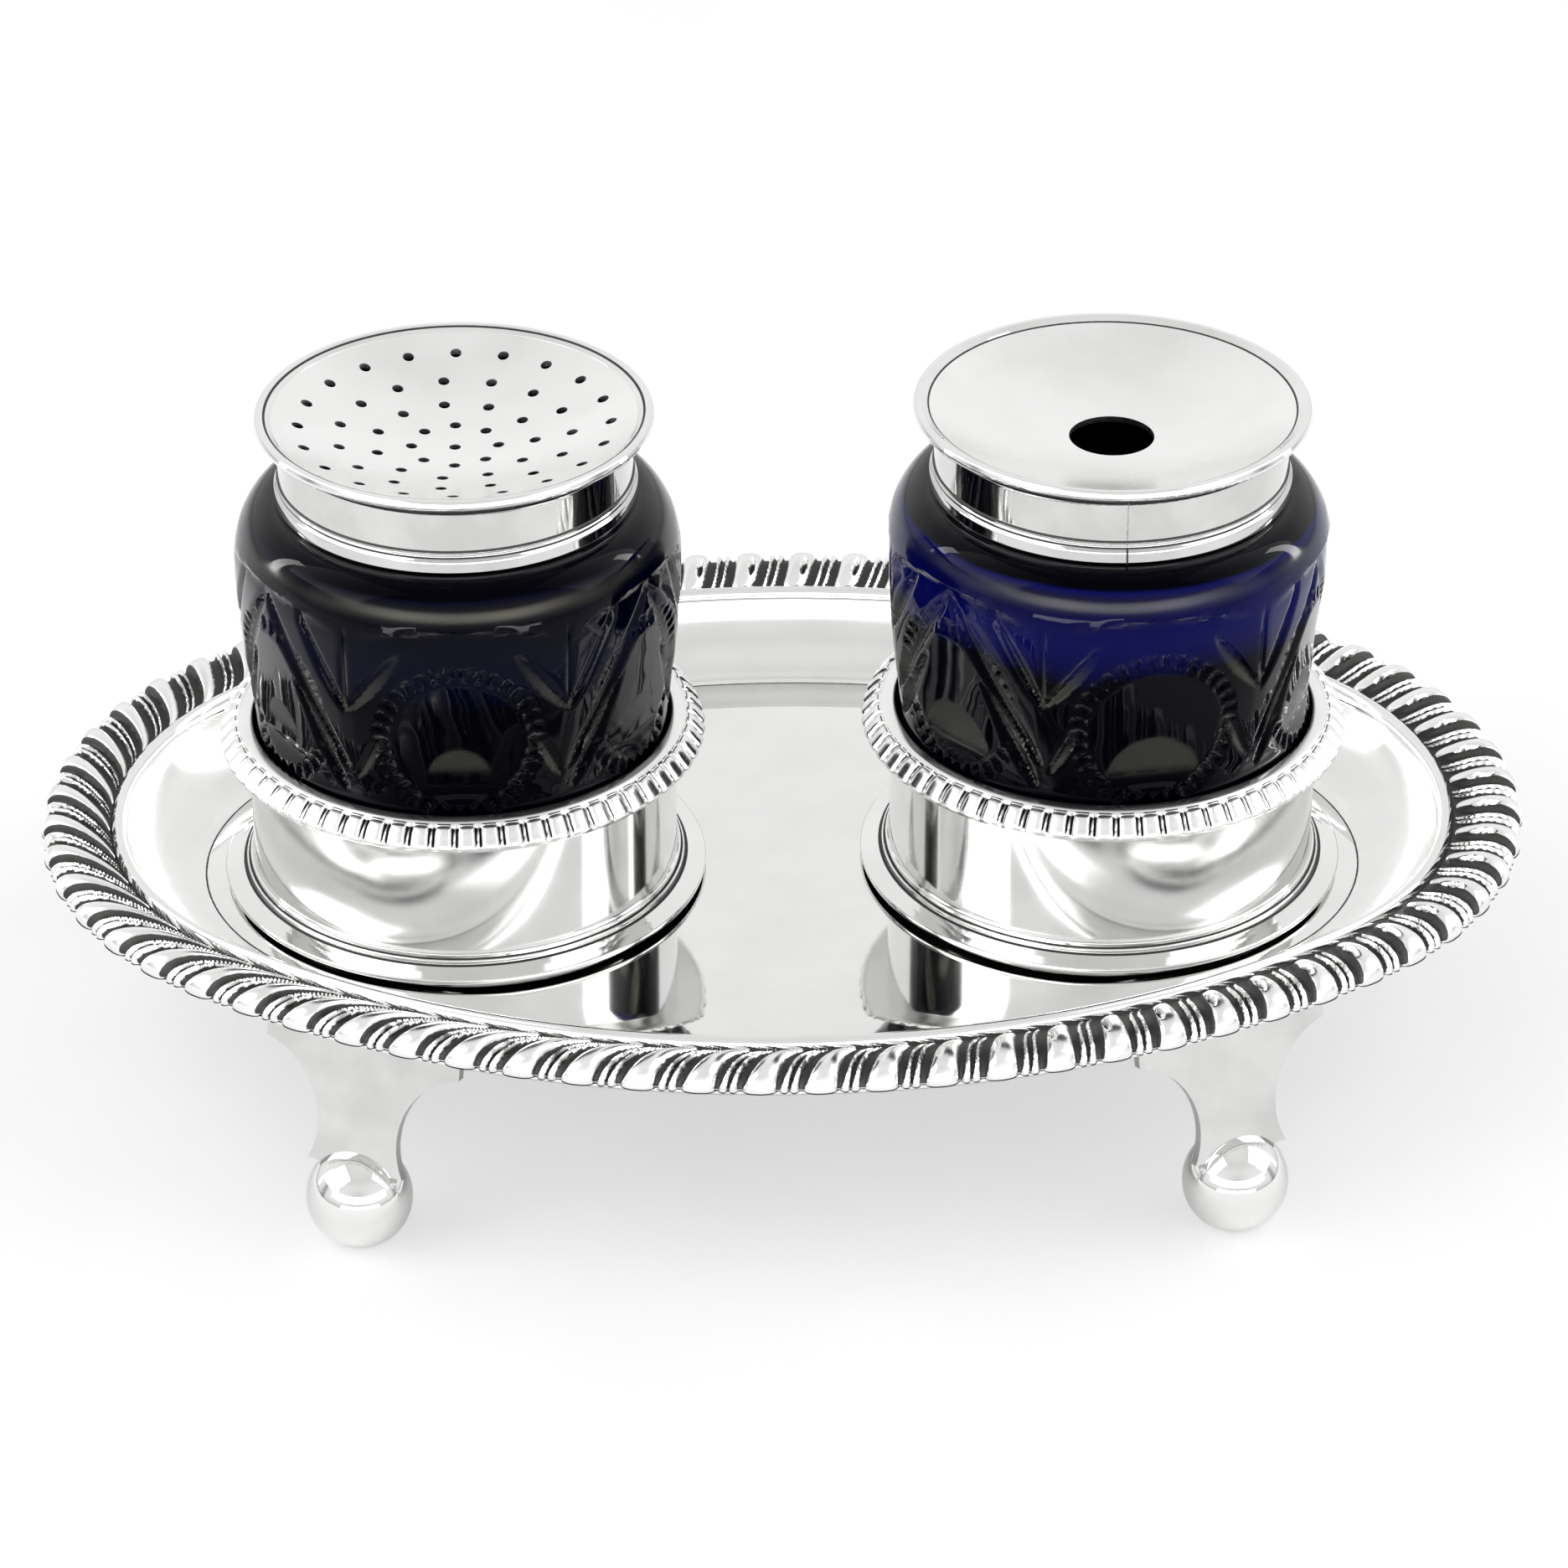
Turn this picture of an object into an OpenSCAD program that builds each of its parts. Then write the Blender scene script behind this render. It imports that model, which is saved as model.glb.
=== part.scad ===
// Oval desk inkstand: a tray on four ball feet with two frames soldered to its bed, a cut
// glass pounce pot and a cut glass ink bottle that stand in them, and a push-on cap for each.
// Millimetres, +Z up, X along the tray, front towards -Y, origin on the table under the middle.

/* [Tray] */
// Length of the tray over its border
tray_l = 200; // [190:2:220]
// Width of the tray over its border
tray_w = 140; // [134:2:150]
// Radius of the border's outer edge round each end
end_r = 55; // [50:1:60]
// Height of the flat bed above the table
bed_z = 22; // [20:0.5:26]
// Height of the flange that carries the border above the bed
rim_rise = 7.3; // [5.5:0.1:9]
// Thickness of the tray's sheet
sheet_t = 1; // [0.8:0.1:1.4]
// Width of the dished wall between the bed and the bead
wall_w = 10; // [8:0.5:12]

/* [Border] */
// Width of the gadrooned strip
border_w = 9.3; // [8:0.1:10.5]
// Height of the strip above the flange between its lobes
border_h = 1.9; // [1.5:0.1:2.6]
// Height that the lobes add
lobe_h = 1.3; // [0.8:0.1:1.6]
// Lobes in each quarter of the border
lobes = 17; // [13:1:19]
// How far a swept lobe runs along the rim from its outer to its inner end
sweep_len = 7; // [0:0.5:9]
// Width of the plain bead inside the strip
bead_w = 2.2; // [1.6:0.1:2.8]

/* [Feet] */
// Diameter of a ball foot
ball_d = 13.8; // [12:0.2:15]
// Depth of the flat worn on the bottom of each ball
ball_flat = 0.25; // [0.1:0.05:0.5]
// Distance along the tray from its end to the middle of a ball
ball_inset = 43.3; // [38:0.1:48]
// Width of a bracket where it meets the border
leg_top_w = 27.5; // [22:0.5:32]
// Width of a bracket at its waist
leg_waist = 11.3; // [9:0.1:13]
// Thickness of a bracket
leg_t = 1.3; // [1:0.1:2]
// Height of the square ends at the top of a bracket
leg_end = 2; // [1.5:0.1:3]
// Height of a bracket's waist above its ball
waist_up = 2.5; // [1.5:0.1:3.5]
// How far a bracket reaches down over its ball
leg_cup = 2.4; // [1.6:0.1:2.8]
// How far inside the border's outer edge a bracket meets the flange
leg_in = 3.2; // [2:0.1:5]

/* [Frames] */
// Clear bed between a frame's foot and the dished wall at the end of the tray
end_gap = 3; // [1:0.5:5]
// Outer diameter of a frame's wall
frame_d = 57.2; // [54:0.2:58]
// Thickness of a frame's wall
frame_t = 0.6; // [0.5:0.05:1]
// Height of a frame above the bed
frame_h = 23.6; // [18:0.2:28]
// Diameter of the gadrooned border on a frame
collar_d = 65; // [62:0.2:67]
// Height of that border
collar_h = 3.1; // [2.4:0.1:4]
// Width of the plain lip inside that border
collar_lip = 2.4; // [1.8:0.1:2.8]
// Height of that lip above the frame's wall
collar_lip_h = 0.6; // [0.4:0.1:1]
// Grooves round that border
collar_grooves = 64; // [36:1:72]
// Width of a groove
groove_w = 1.1; // [0.8:0.1:1.3]
// Diameter of a frame's spreading foot
flange_d = 65; // [62:0.2:67]
// Gap under the foot's free edge
flange_lift = 0.8; // [0.4:0.1:1.2]
// Height of the foot above its free edge
flange_h = 3.1; // [2.4:0.1:4]

/* [Glass] */
// Clearance between a bottle and the wall of its frame
frame_gap = 0.4; // [0.3:0.05:0.8]
// Widest diameter of a bottle
glass_d = 58.9; // [57:0.1:61]
// Height of a bottle's shoulder, where its cap rests, above its base
shoulder_h = 57.2; // [50:0.2:62]
// Height over which the shoulder rounds off
shoulder_round = 9; // [7:0.5:11]
// Width of the flat that a cap's band stands on
ledge_w = 1.6; // [1.2:0.1:2]
// Height of a bottle's neck above the shoulder
neck_h = 6; // [4.6:0.1:7]
// Thickness of the glass at the bottle's wall
glass_t = 4; // [3:0.1:5]
// Thickness of the glass at the bottle's base
base_t = 5; // [3:0.5:8]
// Thickness of the glass at the neck
neck_t = 2.4; // [2:0.1:3]
// Round cuts round a bottle
cut_repeats = 6; // [5:1:7]
// Depth of the round cuts and of the blade cuts
cut_depth = 1.5; // [1:0.1:1.8]
// Height of the middle of the round cuts above the frame
round_cut_up = 7.9; // [6.4:0.5:9.4]
// Radius of the round cuts
round_cut_r = 9; // [7:0.5:9]
// Depth of the middle of the blade cuts below the shoulder
blade_drop = 14.8; // [13.2:0.2:16.2]
// Length of a blade cut
blade_l = 22; // [16:1:23]
// Half the width of a blade's wheel where it leaves the glass
blade_w = 4.4; // [3:0.2:5]
// Lean of a blade cut from the vertical
blade_lean = 34; // [28:1:38]

/* [Caps] */
// Outer diameter of a cap's band
band_d = 46.6; // [45:0.1:48]
// How far a cap's rim stands out past its band
rim_over = 2.9; // [2.4:0.1:3.6]
// Thickness of a cap's band
band_t = 0.6; // [0.5:0.05:0.8]
// Clearance between the band and the glass neck
band_gap = 0.3; // [0.2:0.05:0.5]
// Height of a cap's band, from the shoulder to the rim
band_h = 10.2; // [9.6:0.1:12]
// Height of the plain bead round the band's lower edge
band_bead_h = 2.4; // [1.8:0.1:3]
// How far that bead stands out
band_bead = 0.5; // [0.3:0.1:0.8]
// Height of the fine reed above the bead
reed_h = 0.8; // [0.6:0.1:1]
// Thickness of the rolled rim
rim_t = 1.6; // [1.2:0.1:2]
// Depth of the dish below the rim
dish_depth = 4.9; // [4:0.1:5.4]
// Thickness of the dish
dish_t = 0.8; // [0.6:0.05:1]
// Width of the flat lip between the rim and the dish
lip_w = 0.6; // [0.4:0.1:1]
// Height of that lip above the rim's under face
lip_up = 1; // [0.8:0.1:1.2]
// Width of the rim's seat on the band
rim_seat = 0.9; // [0.6:0.1:1.2]
// Diameter of the quill hole
quill_d = 11.2; // [9:0.1:13]
// Diameter of the holes that the pounce passes through
pounce_d = 1.5; // [1.2:0.1:1.8]

/* [Hidden] */

silver = [0.82, 0.82, 0.80];
grey_silver = [0.70, 0.70, 0.69];
cobalt = [0.05, 0.09, 0.42];
ink_blue = [0.04, 0.05, 0.18];

// The rim is an oval of four arcs: one of end_r round each end and one of side_r along each side.
end_c = tray_l / 2 - end_r;
side_over = tray_w / 2 - end_r;
side_c = (end_c * end_c - side_over * side_over) / (2 * side_over);
side_r = side_c + tray_w / 2;
turn = atan2(side_c, end_c);

flange_z = bed_z + rim_rise;
bead_in = border_w + bead_w;
bed_in = bead_in + wall_w;
bed_lap = 8;
flange_in = 0.8;
bead_h = 2.1;

ball_r = ball_d / 2;
ball_z = ball_r - ball_flat;
foot_x = tray_l / 2 - ball_inset;
foot_y = sqrt(side_r * side_r - foot_x * foot_x) - side_c;
foot_turn = atan2(foot_y + side_c, foot_x);
ball_top = ball_z + ball_r;

frame_r = frame_d / 2;
frame_in = frame_r - frame_t;
frame_top = bed_z + frame_h;
collar_r = collar_d / 2;
collar_z = frame_top - collar_h;
pot_x = tray_l / 2 - bed_in - end_gap - flange_d / 2;

glass_r = glass_d / 2;
base_r = frame_in - frame_gap;
shoulder_z = bed_z + shoulder_h;
band_in = band_d / 2 - band_t;
neck_r = band_in - band_gap;
round_cut_z = frame_h + round_cut_up;
blade_z = shoulder_h - blade_drop;
rim_z = shoulder_z + band_h;
cap_r = band_d / 2 + rim_over;
dish_r = cap_r - rim_t - lip_w;

leg_seat_z = flange_z - sheet_t;

// ---- Border of the tray ----

// Length of one quarter of the strip along its middle, and where the end's arc stops.
mid_in = border_w / 2;
end_len = (end_r - mid_in) * turn * PI / 180;
side_len = (side_r - mid_in) * (90 - turn) * PI / 180;
pitch = (end_len + side_len) / lobes;

// Angle of the outward normal, a length s along the quarter from the end of the tray.
function rim_angle(s) = s < end_len
    ? s / (end_r - mid_in) * 180 / PI
    : turn + (s - end_len) / (side_r - mid_in) * 180 / PI;

// Point of the rim at that normal, a distance d inside the outer edge.
function rim_point(a, d) = a < turn
    ? [end_c + (end_r - d) * cos(a), (end_r - d) * sin(a)]
    : [(side_r - d) * cos(a), (side_r - d) * sin(a) - side_c];

// Points of one quarter, mirrored by side = [x, y]; the normal may run past either end.
function quarter_point(s, d, side) =
    let (over = s > end_len + side_len, t = over ? 2 * (end_len + side_len) - s : abs(s),
         p = rim_point(rim_angle(t), d))
    [side[0] * (over ? -p[0] : p[0]), side[1] * (s < 0 ? -p[1] : p[1])];

// Relief of the strip across one pitch: a broad lobe and then two narrow reeds.
lobe_part = 0.6;
function arch(t) = sqrt(max(0, 1 - t * t));
function relief(u) =
    let (f = u - floor(u), r = (f - lobe_part) / (1 - lobe_part))
    f < lobe_part
        ? arch(2 * f / lobe_part - 1)
        : 0.45 * arch(4 * (r < 0.5 ? r : r - 0.5) - 1);

// Section of the strip, from its outer foot over the crown to its inner edge: shares of its
// width inside the outer edge, of its height above the flange and of the relief.
strip = [[0.05, 0, 0], [0, 0.35, 0.2], [0.1, 0.62, 0.8], [0.34, 1, 1], [0.67, 0.9, 0.9],
    [0.94, 0.5, 0.25], [1, 0.25, 0]];

// One cast quarter of the border. swept is how far its lobes run along the rim; they straighten
// towards the joints at both ends, so that the quarters meet squarely.
module gadroon(side, swept) {
    steps = [0, 0.06, 0.16, 0.3, 0.44, 0.54, 0.6, 0.7, 0.8, 0.9];
    us = [for (k = [0:lobes - 1]) for (f = steps) k + f, lobes];
    rows = len(strip);
    points = [for (u = us)
        let (w = swept * min(1, u, lobes - u), fade = u <= 0 || u >= lobes ? 0 : 1)
        for (k = [0:rows - 1])
        let (q = strip[k],
             s = u * pitch + w * (q[0] - 0.5),
             p = quarter_point(s, q[0] * border_w, side))
        [p[0], p[1], flange_z + border_h * q[1] + lobe_h * q[2] * relief(u) * fade]];
    n = len(us);
    flip = side[0] * side[1] > 0;
    quads = [for (i = [0:n - 2]) for (k = [0:rows - 1])
        [i * rows + k, i * rows + (k + 1) % rows, (i + 1) * rows + (k + 1) % rows, (i + 1) * rows + k]];
    tris = concat([for (q = quads) [q[0], q[1], q[2]]], [for (q = quads) [q[0], q[2], q[3]]],
        [[for (k = [rows - 1:-1:0]) k]], [[for (k = [0:rows - 1]) (n - 1) * rows + k]]);
    color(silver)
    polyhedron(points, flip ? tris : [for (f = tris) [for (k = [len(f) - 1:-1:0]) f[k]]]);
}

// Sweeps a section, drawn with x = 0 on the rim's outer edge, round the four arcs. The end arcs
// run seam_lap degrees over the side arcs, so that the four join into one sheet at any size.
seam_lap = 0.00001;
module rim_sweep() {
    for (s = [0, 180]) {
        rotate([0, 0, s]) translate([end_c, 0, 0]) rotate([0, 0, -turn - seam_lap])
            rotate_extrude(angle = 2 * (turn + seam_lap), $fn = 144)
                translate([end_r, 0]) children();
        rotate([0, 0, s]) translate([0, -side_c, 0]) rotate([0, 0, turn])
            rotate_extrude(angle = 180 - 2 * turn, $fn = 240) translate([side_r, 0]) children();
    }
}

// ---- Tray ----

// Rise of the dished wall a distance t out from the bed, an arc that starts level.
wall_turn = 2 * atan2(rim_rise, wall_w);
wall_r = wall_w / sin(wall_turn);
wall_steps = 8;

module tray() {
    under_r = wall_r + sheet_t;
    under_turn = acos((bed_z + wall_r - leg_seat_z) / under_r);
    arc = [for (k = [0:wall_steps]) let (a = wall_turn * k / wall_steps)
        [-bed_in + wall_r * sin(a), bed_z + wall_r * (1 - cos(a))]];
    under = [for (k = [wall_steps:-1:0]) let (a = under_turn * k / wall_steps)
        [-bed_in + under_r * sin(a), bed_z + wall_r - under_r * cos(a)]];
    color(silver) union() {
        rim_sweep() {
            polygon(concat([[-bed_in - bed_lap, bed_z]], arc,
                [[-flange_in, flange_z], [-flange_in, leg_seat_z]], under,
                [[-bed_in - bed_lap, bed_z - sheet_t]]));
        }
        translate([0, 0, bed_z - sheet_t]) linear_extrude(sheet_t) intersection() {
            for_bed_side(1);
            for_bed_side(-1);
            square([tray_l - 2 * (bed_in + bed_lap * 0.75), tray_w], center = true);
        }
    }
}

// Disc whose edge lies inside the bed's overlap with the swept wall, on one side.
module for_bed_side(s) {
    translate([0, s * side_c]) circle(side_r - bed_in - bed_lap / 2, $fn = 240);
}

// Point of the whole rim, a share t of one turn round it and a distance d inside the edge.
function ring_point(t, d) =
    let (q = floor(4 * t), u = 4 * t - q, s = (end_len + side_len) * (q % 2 == 0 ? u : 1 - u))
    quarter_point(s, d, [q == 1 || q == 2 ? -1 : 1, q >= 2 ? -1 : 1]);

// Half round wire, bent to the rim and closed on itself.
module rim_bead() {
    turns = 160;
    arc_steps = 6;
    n = arc_steps + 1;
    section = [for (k = [0:arc_steps]) let (a = 180 * k / arc_steps)
        [border_w + bead_w / 2 * (1 - cos(a)), flange_z + bead_h * sin(a)]];
    points = [for (i = [0:turns - 1]) for (q = section)
        let (p = ring_point(i / turns, q[0])) [p[0], p[1], q[1]]];
    quads = [for (i = [0:turns - 1]) for (k = [0:n - 1])
        let (j = (i + 1) % turns, m = (k + 1) % n) [i * n + k, j * n + k, j * n + m, i * n + m]];
    color(silver) polyhedron(points,
        concat([for (q = quads) [q[0], q[1], q[2]]], [for (q = quads) [q[0], q[2], q[3]]]));
}

// ---- Feet ----

module foot_place(side) {
    mirror([side[0] < 0 ? 1 : 0, 0, 0]) mirror([0, side[1] < 0 ? 1 : 0, 0])
        translate([foot_x, foot_y, 0]) rotate([0, 0, foot_turn]) children();
}

// Bracket: a sheet with concave sides that leans out from the flange to the top of its ball.
module leg(side) {
    rise = leg_seat_z - ball_top;
    lean = atan2(leg_in, rise);
    tall = sqrt(rise * rise + leg_in * leg_in);
    half_top = leg_top_w / 2;
    step_u = half_top - leg_waist / 2;
    step_v = tall - leg_end - waist_up;
    bow = (step_u * step_u + step_v * step_v) / (2 * step_u);
    color(silver) foot_place(side) difference() {
        translate([0, 0, ball_top]) rotate([0, -lean, 0]) rotate([90, 0, 90])
            translate([0, 0, -leg_t / 2]) linear_extrude(leg_t) difference() {
                translate([-half_top, -leg_cup]) square([leg_top_w, leg_cup + tall + leg_t]);
                for (s = [-1, 1])
                    translate([s * (leg_waist / 2 + bow), waist_up]) circle(bow, $fn = 96);
            }
        translate([0, 0, ball_z]) sphere(ball_r, $fn = 96);
        translate([-leg_top_w, -leg_top_w, leg_seat_z]) cube(2 * leg_top_w);
    }
}

module ball(side) {
    color(silver) foot_place(side) intersection() {
        translate([0, 0, ball_z]) sphere(ball_r, $fn = 96);
        translate([-ball_r, -ball_r, 0]) cube(ball_d);
    }
}

// ---- Frames on the bed ----

module pot_place(s) {
    translate([s * pot_x, 0, 0]) children();
}

module frame_wall(s) {
    color(silver) pot_place(s) translate([0, 0, bed_z])
        rotate_extrude($fn = 128) translate([frame_in, 0]) square([frame_t, frame_h]);
}

// Section of a frame's foot, from under its skirt round the free edge and up to the wall:
// shares of its reach past the wall and of its height above the free edge.
skirt = [[0.46, 0], [0.92, 0], [1, 0.11], [0.95, 0.24], [0.74, 0.34], [0.31, 0.52], [0.18, 0.71],
    [0.13, 0.94], [0, 1]];
skirt_seat = 0.31;

// Spreading foot: a thin skirt, lifted off the bed at its free edge.
module frame_foot(s) {
    reach = flange_d / 2 - frame_r;
    color(silver) pot_place(s) translate([0, 0, bed_z]) rotate_extrude($fn = 128)
        polygon(concat([[frame_r, 0], [frame_r + reach * skirt_seat, 0]],
            [for (p = skirt) [frame_r + reach * p[0], flange_lift + flange_h * p[1]]]));
}

// Section of a frame's border below its crown: shares of its reach and of its height.
collar = [[0.75, 0], [1, 0.35], [0.96, 0.6], [0.79, 0.88]];
crown_in = 0.56;

// Border of a frame: a plain inner lip and a ring of grooved lobes that overhangs the wall.
module frame_border(s) {
    reach = collar_r - frame_r;
    crown_z = frame_top + collar_lip_h / 2;
    lean = 48;
    groove_l = collar_h * 2;
    color(silver) pot_place(s) difference() {
        rotate_extrude($fn = 128)
            polygon(concat([[frame_r, collar_z]],
                [for (p = collar) [frame_r + reach * p[0], collar_z + collar_h * p[1]]],
                [[frame_r + reach * crown_in, crown_z], [frame_in + collar_lip, crown_z],
                    [frame_in, frame_top + collar_lip_h], [frame_in, frame_top],
                    [frame_r, frame_top]]));
        for (k = [0:collar_grooves - 1])
            rotate([0, 0, 360 * k / collar_grooves])
                translate([collar_r, 0, crown_z + groove_w / 2]) rotate([0, lean, 0])
                    cylinder(h = groove_l, d = groove_w, center = true, $fn = 16);
    }
}

// ---- Bottles ----

// Outline of a bottle from its base up to the foot of the neck, as distance from the axis and
// height above the base: a straight stretch in the frame, a slow flare and a round shoulder.
flare_z = frame_h + 2;
full_z = shoulder_h - shoulder_round;
base_edge = 1;
function bottle_r(z) = z < flare_z
    ? base_r
    : base_r + (glass_r - base_r) * sin(90 * min(1, (z - flare_z) / (full_z - flare_z)));

module bottle_solid() {
    steps = 6;
    side = [for (k = [0:steps]) let (z = flare_z + (full_z - flare_z) * k / steps) [bottle_r(z), z]];
    drop = glass_r - neck_r - ledge_w;
    round_off = [for (k = [1:steps]) let (a = 90 * k / steps)
        [glass_r - drop * (1 - cos(a)), full_z + shoulder_round * sin(a)]];
    rotate_extrude($fn = 128)
        polygon(concat([[0, 0], [base_r - base_edge, 0], [base_r, base_edge]], side, round_off,
            [[neck_r, shoulder_h], [neck_r, shoulder_h + neck_h], [0, shoulder_h + neck_h]]));
}

module bottle_cavity() {
    inner = base_r - glass_t;
    bore = neck_r - neck_t;
    top = shoulder_h + neck_h;
    cavity_edge = 3;
    rotate_extrude($fn = 128)
        polygon([[0, base_t], [inner - cavity_edge, base_t], [inner, base_t + cavity_edge],
            [inner, full_z + 1], [bore, shoulder_h - cavity_edge], [bore, top + 1], [0, top + 1]]);
}

// Cutter for one blade cut: a long pointed V whose keel sinks to depth at its middle, whose tips
// lie tip_in below the tangent plane and whose back stands proud of it. It lies along Z.
module blade_cutter(long, wide, depth, tip_in, proud) {
    polyhedron(
        [[-tip_in, 0, -long / 2], [-tip_in, 0, long / 2], [proud, -wide, 0], [proud, wide, 0],
            [-depth, 0, 0]],
        [[0, 4, 2], [0, 3, 4], [1, 2, 4], [1, 4, 3], [0, 2, 1], [0, 1, 3]]);
}

// Round cuts low on the glass, and pairs of pointed blade cuts that lean apart between them.
module bottle_cuts() {
    apart = 360 / cut_repeats;
    blade_share = 0.27;
    blade_depth = cut_depth + 0.2;
    tip_in = 1;
    for (k = [0:cut_repeats - 1]) rotate([0, 0, apart * k - 90]) {
        translate([bottle_r(round_cut_z) - cut_depth, 0, round_cut_z]) rotate([0, 90, 0])
            cylinder(h = round_cut_r, r = round_cut_r, $fn = 96);
        for (s = [-1, 1]) rotate([0, 0, apart * (0.5 - s * blade_share)])
            translate([bottle_r(blade_z), 0, blade_z]) rotate([s * blade_lean, 0, 0])
                blade_cutter(blade_l, blade_w, blade_depth, tip_in, cut_depth);
    }
}

module bottle(s) {
    pot_place(s) translate([0, 0, bed_z]) difference() {
        bottle_solid();
        bottle_cuts();
        bottle_cavity();
    }
}

// ---- Caps ----

// Distance from the axis of the dish's under face at a height z, and its height at a distance r.
function under_r(z) = sqrt(pow(dish_ball + dish_t, 2) - pow(dish_c - z, 2));
function under_z(r) = dish_c - sqrt(pow(dish_ball + dish_t, 2) - r * r);

// Band: a bead and a fine reed at its foot, and a flare at its top that carries the rim and
// clears the dish by under_gap.
module cap_band(s) {
    band_r = band_d / 2;
    flare = dish_r + rim_seat - band_r;
    under_gap = 0.1;
    top_in = under_r(rim_z + under_gap);
    reed_z = band_bead_h + 0.1;
    foot = [[0.4, 0], [1, 0.25], [1, 0.75], [0.4, 1]];
    color(silver) pot_place(s) translate([0, 0, shoulder_z]) rotate_extrude($fn = 128)
        polygon(concat([[band_in, 0]],
            [for (p = foot) [band_r + band_bead * p[0], band_bead_h * p[1]]],
            [[band_r, reed_z], [band_r + band_bead * 0.4, reed_z + reed_h / 2],
                [band_r, reed_z + reed_h], [band_r, band_h - flare],
                [band_r + flare * 0.3, band_h - flare * 0.3], [dish_r + rim_seat, band_h]],
            [for (k = [4:-1:0]) let (r = band_in + (top_in - band_in) * k / 4)
                [r, under_z(r) - under_gap - shoulder_z]]));
}

// Rolled rim with the flat lip that the dish is soldered to.
module cap_rim(s) {
    roll = [[0.88, 0], [0.25, 0.16], [0, 0.5], [0.12, 0.84], [0.5, 1], [1, 0.88]];
    color(silver) pot_place(s) translate([0, 0, rim_z]) rotate_extrude($fn = 128)
        polygon(concat([[dish_r, 0]], [for (p = roll) [cap_r - rim_t * p[0], rim_t * p[1]]],
            [[dish_r, lip_up]]));
}

// The dish is part of a sphere: dish_ball is the radius of its upper face, dish_z the height of
// its edge and dish_c the height of the sphere's centre.
dish_ball = (dish_r * dish_r + dish_depth * dish_depth) / (2 * dish_depth);
dish_z = rim_z + lip_up;
dish_c = dish_z - dish_depth + dish_ball;
drill_z = dish_z - dish_depth - dish_t - 1;
drill_h = dish_depth + dish_t + 2;

module dish_shell() {
    intersection() {
        difference() {
            translate([0, 0, dish_c]) sphere(dish_ball + dish_t, $fn = 160);
            translate([0, 0, dish_c]) sphere(dish_ball, $fn = 160);
        }
        translate([0, 0, drill_z]) cylinder(h = dish_z - drill_z, r = dish_r, $fn = 128);
    }
}

// Holes in rings round a middle one: [holes in the ring, ring's radius over the cap's radius].
rings = [[8, 0.217], [11, 0.40], [15, 0.585], [20, 0.78]];

module pounce_cap_dish() {
    color(grey_silver) pot_place(-1) difference() {
        dish_shell();
        translate([0, 0, drill_z]) cylinder(h = drill_h, d = pounce_d, $fn = 24);
        for (ring = rings) for (k = [0:ring[0] - 1])
            rotate([0, 0, 360 * k / ring[0]]) translate([ring[1] * cap_r, 0, drill_z])
                cylinder(h = drill_h, d = pounce_d, $fn = 24);
    }
}

module ink_cap_dish() {
    color(grey_silver) pot_place(1) difference() {
        dish_shell();
        translate([0, 0, drill_z]) cylinder(h = drill_h, d = quill_d, $fn = 64);
    }
}

tray();
rim_bead();
gadroon([-1, -1], sweep_len);  // gadroon_front_left
gadroon([1, -1], 0);  // gadroon_front_right
gadroon([-1, 1], -sweep_len);  // gadroon_rear_left
gadroon([1, 1], 0);  // gadroon_rear_right
leg([-1, -1]);  // leg_front_left
leg([1, -1]);  // leg_front_right
leg([-1, 1]);  // leg_rear_left
leg([1, 1]);  // leg_rear_right
ball([-1, -1]);  // ball_front_left
ball([1, -1]);  // ball_front_right
ball([-1, 1]);  // ball_rear_left
ball([1, 1]);  // ball_rear_right
frame_wall(-1);  // pounce_frame_wall
frame_foot(-1);  // pounce_frame_foot
frame_border(-1);  // pounce_frame_border
frame_wall(1);  // ink_frame_wall
frame_foot(1);  // ink_frame_foot
frame_border(1);  // ink_frame_border
color(ink_blue) bottle(-1);  // pounce_bottle
cap_band(-1);  // pounce_cap_band
cap_rim(-1);  // pounce_cap_rim
pounce_cap_dish();
color(cobalt) bottle(1);  // ink_bottle
cap_band(1);  // ink_cap_band
cap_rim(1);  // ink_cap_rim
ink_cap_dish();
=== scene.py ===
"""Dresses the desk inkstand: polished, oxidised and satin silver, cut cobalt glass, a plain studio."""

import logging
import math
from dataclasses import dataclass
from enum import Enum
from functools import partial
from typing import Any, Callable, Sequence

import bpy
import numpy as np
from mathutils import Matrix, Vector


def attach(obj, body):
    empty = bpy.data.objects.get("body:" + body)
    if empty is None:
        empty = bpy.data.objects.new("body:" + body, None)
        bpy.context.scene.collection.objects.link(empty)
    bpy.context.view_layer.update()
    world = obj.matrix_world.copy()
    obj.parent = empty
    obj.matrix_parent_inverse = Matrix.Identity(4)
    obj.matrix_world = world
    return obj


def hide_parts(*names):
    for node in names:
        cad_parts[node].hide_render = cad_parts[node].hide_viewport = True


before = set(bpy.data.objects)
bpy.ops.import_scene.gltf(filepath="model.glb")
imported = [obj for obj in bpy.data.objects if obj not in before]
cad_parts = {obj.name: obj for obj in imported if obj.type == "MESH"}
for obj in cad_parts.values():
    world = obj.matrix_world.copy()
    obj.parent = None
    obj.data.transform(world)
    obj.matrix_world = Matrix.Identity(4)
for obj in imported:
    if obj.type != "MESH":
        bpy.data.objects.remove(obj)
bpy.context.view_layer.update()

MM = 0.001
WHITE = (1.0, 1.0, 1.0, 1.0)
LOG = logging.getLogger("inkstand")
# How far each pot stands from the middle of the tray, in mm.
POT_X = 43.0
# Steps in degrees across an open seam, how far up from its foot it stands open, in mm, and how dark
# it is above that, where it is shut.
SEAM_STEPS = np.array([-0.45, -0.2, 0.0, 0.2, 0.45])
SEAM_OPEN_H = 2.4
SEAM_SHUT = 0.45

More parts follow.
